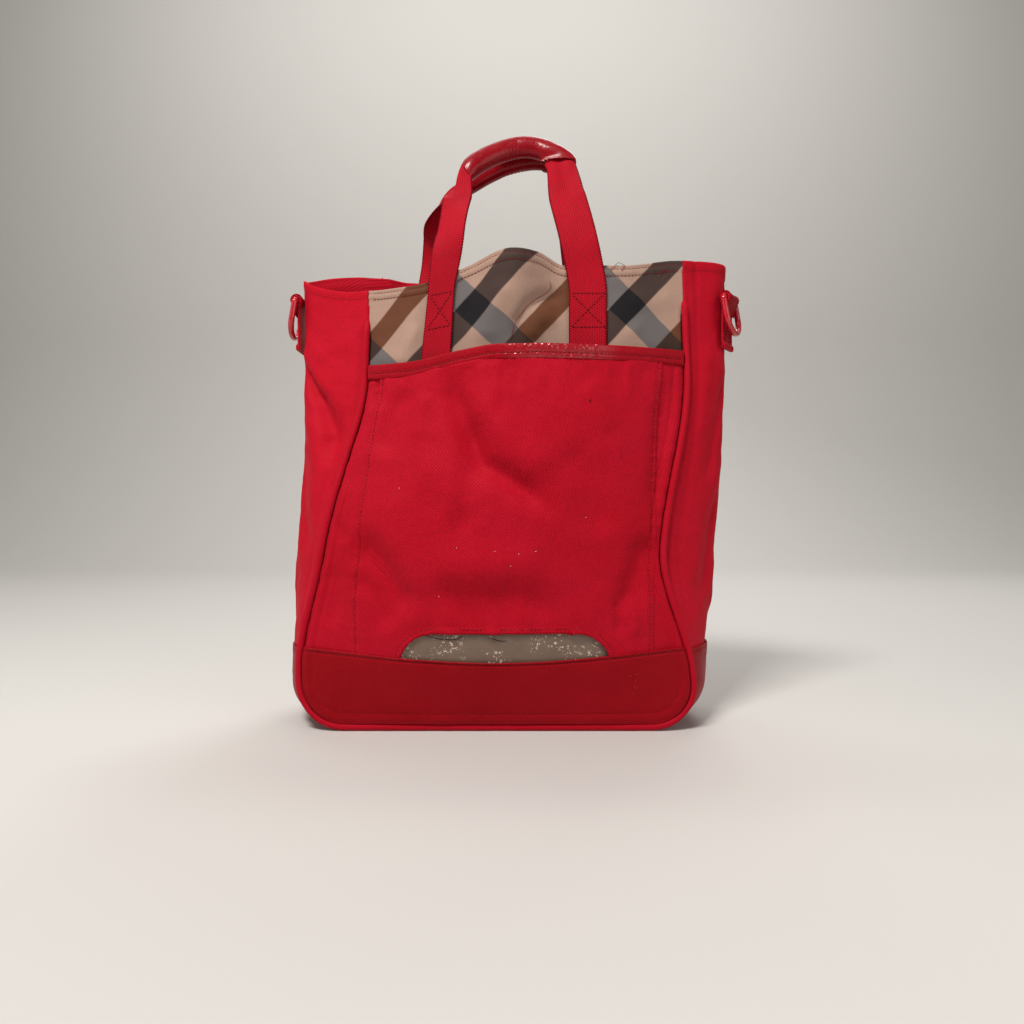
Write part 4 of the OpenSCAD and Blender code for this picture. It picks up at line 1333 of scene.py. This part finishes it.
FRONT = Handle("front", -1, FRONT_X, FRONT_W, 119.0, 4.0, 2.9, 1.2, (
    (-0.97, -0.11), (-1, 0), (-0.97, 0.11), (-0.89, 0.33), (-0.79, 0.62), (-0.69, 0.79),
    (-0.38, 0.92), (0.04, 1), (0.4, 0.985), (0.64, 0.88), (0.73, 0.62), (0.87, 0.33),
    (0.97, 0.11), (1, 0), (0.97, -0.11)))
REAR = Handle("rear", 1, REAR_X, REAR_W, 112.0, 4.5, 2.8, 1.7, (
    (-0.99, -0.11), (-1, 0), (-0.99, 0.11), (-0.975, 0.33), (-0.90, 0.62), (-0.79, 0.80),
    (-0.43, 0.92), (0.04, 1.02), (0.4, 1.045), (0.66, 0.995), (0.83, 0.72), (0.94, 0.35),
    (0.985, 0.11), (1, 0), (0.985, -0.11)))
LAST_KNOT, ROUTE_STEPS, GRIP_TO = 12, 480, 8.0
GRIP_W, GRIP_T, GRIP_SKIN, GRIP_SPACE = 16.0, 12.0, 1.2, 3.0
RIB_PITCH, BAR_PITCH = 1.75, 1.9
LEFT_W = 0.68


def handle_middle(h, k):
    """The middle line of a handle at knot k, from its left hinge to its right one."""
    i = min(LAST_KNOT - 1, max(0, int(k)))
    t = k - i
    a, b, c, d = h.knots[i:i + 4]
    across, up = b + 0.5 * t * (c - a + t * (2 * a - 5 * b + 4 * c - d + t * (3 * (b - c) + d - a)))
    z = HINGE_H + up * h.rise
    t = min(1.0, max(0.0, (z - BODY_H) / (HINGE_H + h.rise - BODY_H)))
    root = h.wall_d(h.mid + h.width / 2, HINGE_H) + 0.3 + WEBBING_T / 2
    crown = (GRIP_T + GRIP_SPACE) / 2
    return Vector((h.mid + across * h.width / 2,
                   h.side * (root + (crown - root) * t * t * (3 - t) / 2), z))


def handle_frame(h, k):
    """Middle, direction, direction to the inside of the arch, and out of its plane."""
    along = (handle_middle(h, min(LAST_KNOT, k + 0.02))
             - handle_middle(h, max(0, k - 0.02))).normalized()
    inner = Vector((0, 1, 0)).cross(along).normalized()
    return handle_middle(h, k), along, inner, along.cross(inner)


def strap_route(h):
    """Stations along the strap: (length from its start, leg or 0, height or knot)."""
    down = HINGE_H - STRAP_LOW
    knots = [LAST_KNOT * i / ROUTE_STEPS for i in range(ROUTE_STEPS + 1)]
    reach = measured([handle_middle(h, k) for k in knots])
    total = reach[-1] + 2 * down

    def at(t):
        s = t * total
        if s <= down:
            return s, -1, STRAP_LOW + s
        if s >= down + reach[-1]:
            return s, 1, HINGE_H - (s - down - reach[-1])
        i = min(ROUTE_STEPS - 1, bisect.bisect_right(reach, s - down) - 1)
        return s, 0, mix(knots[i], knots[i + 1],
                         (s - down - reach[i]) / (reach[i + 1] - reach[i]))
    return at, total


def fold_of(h, k):
    """How far the webbing is folded at knot k: 0 flat, 1 folded in half. The front's left
    leg folds just below the grip, the rear's from further down, the others inside it."""
    share = ease((k - h.fold_from) / h.fold_over) * ease((7.9 - k) / 0.7)
    return math.acos(1 - 2 * share) / math.pi


def folded_section(s, amount, width):
    """Across the webbing from s = -1 to 1: (to the inside of the arch, behind its face)."""
    if amount < 1e-4:
        return s * width / 2, 0.0
    turn, bend, steps = math.pi * amount * 0.97, 0.22, 14
    inward, behind, ds = 0.0, 0.0, s / steps
    for i in range(steps):
        lean = turn * ease((bend - (i + 0.5) * ds) / (2 * bend))
        inward += math.cos(lean) * ds * width / 2
        behind -= math.sin(lean) * ds * width / 2
    return inward - amount * width / 4, behind - amount * 1.6


def leaning(x, q, down):
    """Across the front's left strap, which runs down aslant and widens below its hinge."""
    return x - 0.08 * max(0.0, down) + q * WEBBING_W / 2 * mix(LEFT_W, 0.74, ease(down / 45))


def strap_lay(h):
    at, total = strap_route(h)

    def sewn(leg, z, q):
        """On the wall, where the strap is sewn down."""
        x = h.mid + leg * h.width / 2 - leg * q * WEBBING_W / 2 * 0.97
        if h is FRONT and leg < 0:
            x = leaning(h.mid - h.width / 2, q, HINGE_H - z)
        tuck = 0.25 * ease((POCKET_H - z) / 8)
        return Vector((x, h.side * (h.wall_d(x, z) + 0.3 + WEBBING_T - tuck), z))

    def lay(a, t):
        s, leg, place = at(t)
        q = 2 * a - 1
        if leg:
            return sewn(leg, place, q)
        here, _, inner, out = handle_frame(h, place)
        fold = fold_of(h, place)
        held = ease((place - h.grip_from + 0.3) / 0.5) * ease((7.9 - place) / 0.6)
        drawn = ease((9.4 - place) / 1.3) * ease((place - 6) / 1.0)
        left = ease((6 - place) / 2.0) if h is FRONT else 0.0
        turned_w = mix(LEFT_W, 0.80, ease((place - 0.4) / 1.8))
        wide = WEBBING_W * min(1 - 0.20 * max(held, drawn), mix(0.97, turned_w, left))
        inward, behind = folded_section(q, fold, wide)
        twist = math.radians(26) * ease((place - 1.4) / 0.9) * ease((3.6 - place) / 1.2)
        turned = -h.side * inward * math.sin(twist)
        crease = 0.45 * drawn * (1 - held) * math.cos(6.0 * (q - 0.5))
        wave = 0.6 * noise.noise(Vector((s / 34, h is FRONT, 3.0))) * (1 - fold) * q ** 2
        near = ease(min(place - 1, 11 - place) / 0.5)
        return here + inner * inward * math.cos(twist) + out * h.side * (
            WEBBING_T / 2 * (1 - 0.6 * held) - behind + turned + (wave + crease) * near)
    return lay, total


def webbing_relief(total):
    def relief(a, t):
        edge = ease((1 - abs(2 * a - 1)) / 0.10)
        return (1 - edge) * (0.10 * math.sin(2 * math.pi * t * total / BAR_PITCH) - 0.30)
    return relief


def picot(lay, total):
    """The webbing's edges are made of small loops of yarn."""
    def at(a, t):
        q = 2 * a - 1
        if abs(q) > 0.9:
            q *= 1 + 0.012 * math.sin(2 * math.pi * t * total / BAR_PITCH)
        return lay((q + 1) / 2, t)
    return at


def webbing_material():
    """Nylon webbing: ribs along it, crossed by finer bars, with looped edges."""
    made, add = start_material("webbing", Roughness=0.55, Sheen_Weight=0.06,
                               Sheen_Roughness=0.4, Sheen_Tint=(1.0, 0.15, 0.2),
                               Specular_IOR_Level=0.10, Specular_Tint=(1.0, 0.4, 0.45))
    place = add("SeparateXYZ", add("UVMap", uv_map="weave")).outputs
    across = add.math("MULTIPLY", place[0], 2 * math.pi / (RIB_PITCH * MM))
    along = add.math("MULTIPLY", place[1], 2 * math.pi / (BAR_PITCH * MM))
    sign = add.math("SIGN", add.math("COSINE", add.math("MULTIPLY", across, 0.5)))
    bars = add.math("COSINE", along)
    high = add.math("MULTIPLY_ADD", add.math("COSINE", across), -0.28, 0.55)
    raised = add.math("MULTIPLY_ADD", add.math("MULTIPLY", bars, sign), 0.30, high)
    yarn = add("MapRange", raised, 0.0, 0.85)
    aside = add.math("ABSOLUTE", add.math("SUBTRACT", place[0], WEBBING_W / 2 * MM))
    dark = add.math("MULTIPLY", add("MapRange", aside, 0.0126, 0.0131),
                    add("MapRange", bars, -0.3, 0.3))
    dye = add("TexNoise", Vector=whole(add), Scale=38.0, Detail=3.0)
    woven = add.blend(yarn, (0.26, 0.0025, 0.008), (0.46, 0.007, 0.019))
    edged = add.blend(dark, woven, (0.09, 0.001, 0.004))
    add.surface(Base_Color=add.scale(edged, add("MapRange", dye, 0.3, 0.7, 0.88, 1.08)))
    add.bump(0.7, 0.0003, add.math("SUBTRACT", yarn, dark))
    return made


webbing = webbing_material()
for h, depth in ((FRONT, -0.043), (REAR, 0.044)):
    lay, total = strap_lay(h)
    strap = cloth(h.word + "_handle_strap", webbing, 22, 900, picot(lay, total),
                  webbing_relief(total), WEBBING_T, turn=h is REAR,
                  flat=lambda a, t: (a * WEBBING_W, t * total))
    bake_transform(strap)
    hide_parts(h.word + "_handle_webbing", h.word + "_strap_end_left",
                h.word + "_strap_end_right")

# the rows at a hinge, from the strap's middle and 1 mm below the hinge
HINGE_CROSS = (((-11.5, 0), (11.5, 0)), ((-11, -1), (11, -23)), ((11, -1), (-11, -23)),
               ((-11.5, -24), (11.5, -24)))
# the ends on the back are in plain sight, sewn down with a second cross
BACK_BOX = (((-11.5, -44), (11.5, -44)), ((-11, -45), (11, -66)), ((11, -45), (-11, -66)),
            ((-11.5, -67), (11.5, -67)), ((-11.5, -44), (-11.5, -67)), ((11.5, -44), (11.5, -67)))


def strap_sewing(h):
    """The stitching that holds a strap: a row at the hinge over a cross, at both ends."""
    runs = []
    for leg in (-1, 1):
        middle = h.mid + leg * h.width / 2
        for (x0, z0), (x1, z1) in HINGE_CROSS + (BACK_BOX if h is REAR else ()):
            run = []
            for i in range(41):
                x, z = middle + mix(x0, x1, i / 40), HINGE_H - 1 + mix(z0, z1, i / 40)
                if h is FRONT and leg < 0:
                    x = leaning(middle, (x - middle) / (WEBBING_W / 2), HINGE_H - z)
                    z += 0.2 * (x - middle)
                run.append((Vector((x, h.side * (h.wall_d(x, z) + 0.25 + WEBBING_T), z)),
                            Vector((0, h.side, 0))))
            runs.append(run)
    return runs


# red thread darker than the strap: painted shade of the stitch rows sunk into the webbing
shade_darkened_webbing_thread = thread_material("shade_darkened_webbing_thread", (0.25, 0.003, 0.010), (0.13, 0.0015, 0.005))
dress(stitches("strap_stitching", shade_darkened_webbing_thread, strap_sewing(FRONT) + strap_sewing(REAR),
               every=2.7, length=2.1, thick=0.85), "bag", "webbing")

# ---- grips -----------------------------------------------------------------------------
# Smooth glossy leather wrapped round the folded webbing and sewn along the inside of the
# arch. It is polished by the hand, wrinkled where it bends, and its ends stand off a little.
grip_leather = leather_material("grip_leather", (0.31, 0.0035, 0.010), (0.21, 0.002, 0.006),
                                0.34, 0.30, 1300.0, 260.0, 0.00006)[0]
LAP_SEAM = 0.62


def grip_lay(h):
    def lay(a, t):
        here, along, inner, out = handle_frame(h, mix(h.grip_from, GRIP_TO, t))
        angle = 2 * math.pi * a
        c, s = math.cos(angle), math.sin(angle)
        open_end, start = hill(1 - t, 0.10), hill(t, 0.05)
        wide = GRIP_W / 2 + 4.2 * open_end - 1.6 * start
        thick = GRIP_T / 2 - 2.9 * open_end - 1.9 * start
        wrinkle = 0.22 * hill(t - 0.46, 0.10) * max(0.0, c) \
            * math.sin(t * 190 + 2 * math.sin(angle)) \
            + 0.16 * noise.noise(Vector((t * 22, c * 1.5, s * 1.5)))
        # the lap of the leather, sewn down along the inside of the arch
        lap = 0.55 * ease((angle - 0.35) / 0.25) * ease((1.75 - angle) / 1.2)
        groove = -0.45 * hill(angle - LAP_SEAM, 0.10)
        r = wrinkle + lap + groove - 0.5 * ease((0.007 - min(t, 1 - t)) / 0.007)
        slant = (5.5 * c + 1.0) * hill(1 - t, 0.14) + 3.5 * (c + 0.2) * hill(t, 0.14)
        return here + inner * (wide + r) * c - out * h.side * (thick + r) * s - along * slant
    return lay


for h in (FRONT, REAR):
    grip = tube(h.word + "_grip_leather", grip_leather, 48, 190, grip_lay(h), closed=False,
                girth=45)
    dress(thicken(grip, GRIP_SKIN), h.word + "_handle", "binding_leather", h.word + "_grip")
for h in (FRONT, REAR):
    row = []
    for i in range(241):
        t = 0.02 + 0.95 * i / 240
        here = grip_lay(h)(LAP_SEAM / (2 * math.pi), t)
        middle = handle_middle(h, mix(h.grip_from, GRIP_TO, t))
        row.append((here, (here - middle).normalized()))
    dress(stitches(h.word + "_grip_stitching", shade_darkened_thread, [row], every=2.8, length=2.0,
                   thick=0.5), h.word + "_handle", "binding_leather")

# ---- ring tabs ---------------------------------------------------------------------------
# A short strip of the same webbing, folded over each ring's bar, turned up thick at its
# lower end and sewn to the side fold, with a sleeve of smooth leather where the bar turns.
RING_Z, TAB_W, RING_D, RING_H, RING_TILT = BODY_H - 23.0, 20.0, 4.6, 31.0, 10.0
PLY = WEBBING_T
BAR_OFF, LOOP_R = RING_D / 2 + 0.3 + PLY, RING_D / 2 + 0.3 + PLY


def fold_frame(side):
    """The tab's own frame at the side fold: out of it, along the bar, and up."""
    v = 0 if side < 0 else -0.3
    out = strip_normal(side, v, RING_Z)
    foot = strip_at(side, v, RING_Z, 0.3)
    turned = Matrix((out, (-out.y, out.x, 0), (0, 0, 1))).transposed().to_4x4()
    return Matrix.Translation((foot.x, foot.y, RING_Z)) @ turned


def bent_strip(points, width, side, bulge=0.0):
    """Lays a strip along a bent line of (out, up), width wide along the bar."""
    place = fold_frame(side)
    line = [Vector((x, 0, z)) for x, z in points]
    reach = measured(line)

    def lay(a, t):
        s = t * reach[-1]
        i = min(len(line) - 2, max(0, bisect.bisect_right(reach, s) - 1))
        here = line[i].lerp(line[i + 1], (s - reach[i]) / (reach[i + 1] - reach[i]))
        q = 2 * a - 1
        return place @ Vector((here.x, q * width / 2, here.z + bulge * q * q))
    return lay, reach[-1]


def arc(cx, cz, r, start, end, steps):
    turns = [math.radians(mix(start, end, i / steps)) for i in range(steps + 1)]
    return [(cx + r * math.cos(turn), cz + r * math.sin(turn)) for turn in turns]


TAB_LINE = [(1.4, -37.6), (1.4, -2.0)] + arc(BAR_OFF, 0, LOOP_R, 170, -35, 18) + [
    (5.6, -5.2), (3.6, -9.5), (2.9, -13), (2.85, -32.2), (3.3, -33.0), (4.1, -33.6),
    (4.4, -34.6), (4.4, -36.6), (3.9, -37.7), (3.0, -38.0)]
SLEEVE_LINE = [(1.9, -7.0), (1.0, -5.5), (0.2, -2.0)] + arc(
    BAR_OFF, 0, LOOP_R + 0.6, 168, -35, 18) + [(6.6, -5.4), (5.4, -8.6), (4.5, -12.4)]

for side, word in SIDES:
    lay, total = bent_strip(TAB_LINE, TAB_W, side)
    dress(cloth("ring_tab_" + word, webbing, 20, 200, picot(lay, total), webbing_relief(total),
                PLY, turn=True,
                flat=lambda a, t: ((WEBBING_W - TAB_W) / 2 + a * TAB_W, t * total)),
          "bag", "webbing", "ring_tab_" + word)
    dress(cloth("ring_sleeve_" + word, base_leather, 20, 60,
                bent_strip(SLEEVE_LINE, TAB_W - 1.0, side, 0.5)[0],
                lambda a, t: 0.15 * noise.noise(Vector((a * 4, t * 5, side))), 0.8, turn=True),
          "bag", "base_leather")

# a box with its diagonals, along the bar and up from it
BOX_HALF, BOX_TOP, BOX_LOW = 8.3, -14, -31
TAB_BOX = [((y0 * BOX_HALF, z0), (y1 * BOX_HALF, z1)) for y0, z0, y1, z1 in (
    (-1, BOX_TOP, -1, BOX_LOW), (1, BOX_TOP, 1, BOX_LOW), (-1, BOX_TOP, 1, BOX_LOW),
    (1, BOX_TOP, -1, BOX_LOW), (-1, BOX_TOP, 1, BOX_TOP), (-1, BOX_LOW, 1, BOX_LOW))]
tab_rows = []
for side, _ in SIDES:
    place = fold_frame(side)
    out = place.to_3x3().col[0].normalized()
    tab_rows += [[(place @ Vector((2.9, mix(y0, y1, i / 30), mix(z0, z1, i / 30))), out)
                  for i in range(31)] for (y0, z0), (y1, z1) in TAB_BOX]
dress(stitches("ring_tab_stitching", shade_darkened_thread, tab_rows, every=2.4, length=1.8, thick=0.5),
      "bag", "webbing")

# ---- rings -------------------------------------------------------------------------------
# Moulded red plastic rings with a straight bar, polished.
RING_SIDES, RING_CORNER = 16, 2.2
ring_plastic, add = start_material("ring_plastic", Coat_Weight=0.5, Coat_Roughness=0.08,
                                   Specular_IOR_Level=0.5)
cloudy = add("TexNoise", Vector=whole(add), Scale=210.0, Detail=4.0)
add.surface(Base_Color=add.blend(cloudy, (0.40, 0.004, 0.014), (0.50, 0.010, 0.022)),
            Roughness=add("MapRange", cloudy, 0.35, 0.7, 0.16, 0.30))
add.bump(0.15, 0.0002, cloudy)


def ring_loop(side):
    """The ring's middle line: along its bar, down a leg, round the bow and up again."""
    half = (TAB_W + 1.0) / 2 + RING_D / 2
    leg = RING_H - RING_D - half
    down = [(0.0, 0.0)] + arc(half - RING_CORNER, -RING_CORNER, RING_CORNER, 90, 0, 6)
    down += [(half, -leg * q / 4) for q in range(1, 4)]
    line = down + arc(0, -leg, half, 0, -180, 24) + [(-y, z) for y, z in reversed(down) if y > 0]
    turn = Matrix.Rotation(math.radians(-RING_TILT), 4, "Y")
    place = fold_frame(side) @ Matrix.Translation((BAR_OFF, 0, 0)) @ turn
    return [place @ Vector((0, y, z)) for y, z in line], place.to_3x3() @ Vector((1, 0, 0))


def ring(side, name):
    line, out = ring_loop(side)
    bm = bmesh.new()
    rings = []
    for here, before, after in zip(line, line[-1:] + line, line[1:] + line[:1]):
        aside = out.cross((after - before).normalized()).normalized()
        turns = [2 * math.pi * (j + 0.5) / RING_SIDES for j in range(RING_SIDES)]
        rings.append([bm.verts.new(here + (aside * math.cos(turn) + out * math.sin(turn))
                                   * RING_D / 2) for turn in turns])
    for a, b in zip(rings, rings[1:] + rings[:1]):
        for j in range(RING_SIDES):
            k = (j + 1) % RING_SIDES
            bm.faces.new((a[j], a[k], b[k], b[j]))
    bmesh.ops.recalc_face_normals(bm, faces=bm.faces)
    made = put(name, ring_plastic, bm, MM)
    finer = made.modifiers.new("smooth", "SUBSURF")
    finer.levels = finer.render_levels = 1
    return made


for side, word in SIDES:
    dress(ring(side, word + "_d_ring"), word + "_ring", "ring_plastic", "ring_" + word)

# ---- wear --------------------------------------------------------------------------------
# What use has left on the bag: loose ends of thread on the checked cloth, lint and a dark
# spot on the pocket, two hairline cracks in the coat of the window's film, scuffs on the
# base leather and frayed yarn at the front grip.


def wisp(name, thread, slot, points, radius):
    """A loose bit of thread along a line through points."""
    line = smooth_path([Vector(point) for point in points], 60)

    def lay(a, t):
        here, ahead, across = along_line(line, t)
        angle = 2 * math.pi * a
        thin = radius * (1 - 0.7 * abs(2 * t - 1) ** 8)
        return here + (across * math.cos(angle) + ahead.cross(across) * math.sin(angle)) * thin

    dress(tube(name, thread, 6, 60, lay), "bag", slot)


def found(lay, face, low, high, x, z):
    """(point, normal) on a panel's outer face at x and height z, found step by step."""
    a, v = (panel_u(x, z) + 1) / 2, (z - low) / (high - low)
    for _ in range(5):
        v += (z - lay(a, v).z) / (high - low)
    return face(a, v)


def on_check(x, z, out):
    here, normal = found(check_lay, check_face, CHECK_LOW, BODY_H, x, z)
    return here + normal * out


def on_pocket(x, z):
    return found(pocket_lay, pocket_face, POCKET_LOW, POCKET_H, x, z)


def on_leather(x, z):
    return found(skin_lay, skin_face, wall_foot, LEATHER_H, x, z)


def marks(name, strokes, mark, body, slot, long, thick):
    """Strokes of one length, each from a (point, normal) along a direction."""
    runs = [[(here, normal), (here + turn, normal)] for (here, normal), turn in strokes]
    dress(stitches(name, mark, runs, every=1.0, length=long, thick=thick), body, slot)


wisp("thread_on_check", red_thread, "twill", [on_check(x, z, out) for x, z, out in (
    (9.3, 277, 0.3), (10.6, 284, 0.5), (13.5, 290, 0.8), (20.5, 299, 0.5), (27, 305, 0.9),
    (34.6, 310, 0.5), (38.5, 315, 0.4), (36.5, 320, 0.4))], 0.19)
for number, points in enumerate((
        ((80.0, 325, 0.2), (81.5, 329, 0.9), (86, 333, 1.2), (90.5, 331, 1.3), (88.0, 326, 0.4)),
        ((116.5, 326, 0.2), (119.3, 331, 0.9), (123.0, 329, 1.3), (120.8, 325, 0.5))), 1):
    wisp("thread_at_hem_%d" % number, red_thread, "twill",
         [on_check(x, min(z, 324), out) + Vector((0, 0, max(0, z - 324)))
          for x, z, out in points], 0.17)

# x, height, and the way each lies
LINT = ((-27.5, 130.2, 1.4), (-2.1, 128.2, 0.4), (14.7, 126.2, 2.2), (8.7, 118.2, 1.0),
        (25.4, 128.2, 0.2), (-40.2, 96.5, 2.0), (61.0, 151.0, 0.7), (-68.0, 171.0, 1.1))
lint = thread_material("lint", (0.78, 0.60, 0.56), (0.62, 0.42, 0.40))
soot = thread_material("soot", (0.030, 0.004, 0.005), (0.015, 0.002, 0.003))
for name, spots, mark, long, thick in (
        ("lint_on_pocket", LINT, lint, 0.9, 0.40),
        ("spot_on_pocket", ((62.9, 231.4, 0.6),), soot, 1.6, 1.1)):
    marks(name, [(on_pocket(x, z), Vector((math.cos(turn), 0, math.sin(turn))))
                 for x, z, turn in spots], mark, "bag", "twill", long, thick)

for word, crack in (
        ("left", ((-54.7, 70.6), (-50, 69.6), (-45.3, 68.3), (-38, 66.9), (-31.1, 66.7),
                  (-27, 67.6), (-23.7, 69.6))),
        ("right", ((-6.2, 68.4), (-3, 67.6), (-0.1, 66.4), (3.4, 65.8), (6.6, 66.2)))):
    wisp("film_crack_" + word, soot, "window_film",
         [Vector((x, 0.23 - pocket_d(x, z + 6), z)) for x, z in crack], 0.20)

scuffed = thread_material("scuffed_leather", (0.40, 0.045, 0.050), (0.32, 0.018, 0.022))
marks("scuffs_on_leather", [(on_leather(x, z), Vector((dx, 0, dz))) for x, z, dx, dz in (
    (96.7, 36.2, 0.2, 1), (95.7, 32.0, 0.15, 1), (94.9, 27.4, 0.1, 1), (97.5, 31.6, 0.2, 1),
    (96.9, 41.3, 1, 0.25), (92.2, 40.3, 1, 0.2), (-120.2, 15.6, 0.6, 1))],
      scuffed, "bag", "base_leather", 3.4, 0.26)

# the webbing is fraying where it comes out of the right end of the front grip: the place
# round the grip and along it, and the way each yarn lies
FRAYED = ((0.84, 0.985, 1, -0.3, 0.5), (0.86, 0.990, 0.6, -0.4, -0.8),
          (0.88, 0.984, 1, -0.5, -0.1), (0.90, 0.992, 0.2, -0.3, -1),
          (0.87, 0.978, 0.8, -0.2, 0.9), (0.92, 0.985, 0.9, -0.4, -0.6))
frayed = thread_material("frayed_yarn", (0.74, 0.40, 0.34), (0.55, 0.22, 0.18))
marks("frayed_at_grip", [((grip_lay(FRONT)(a, t), Vector((0, -1, 0))), Vector(turn))
                         for a, t, *turn in FRAYED],
      frayed, "front_handle", "webbing", 3.0, 0.50)
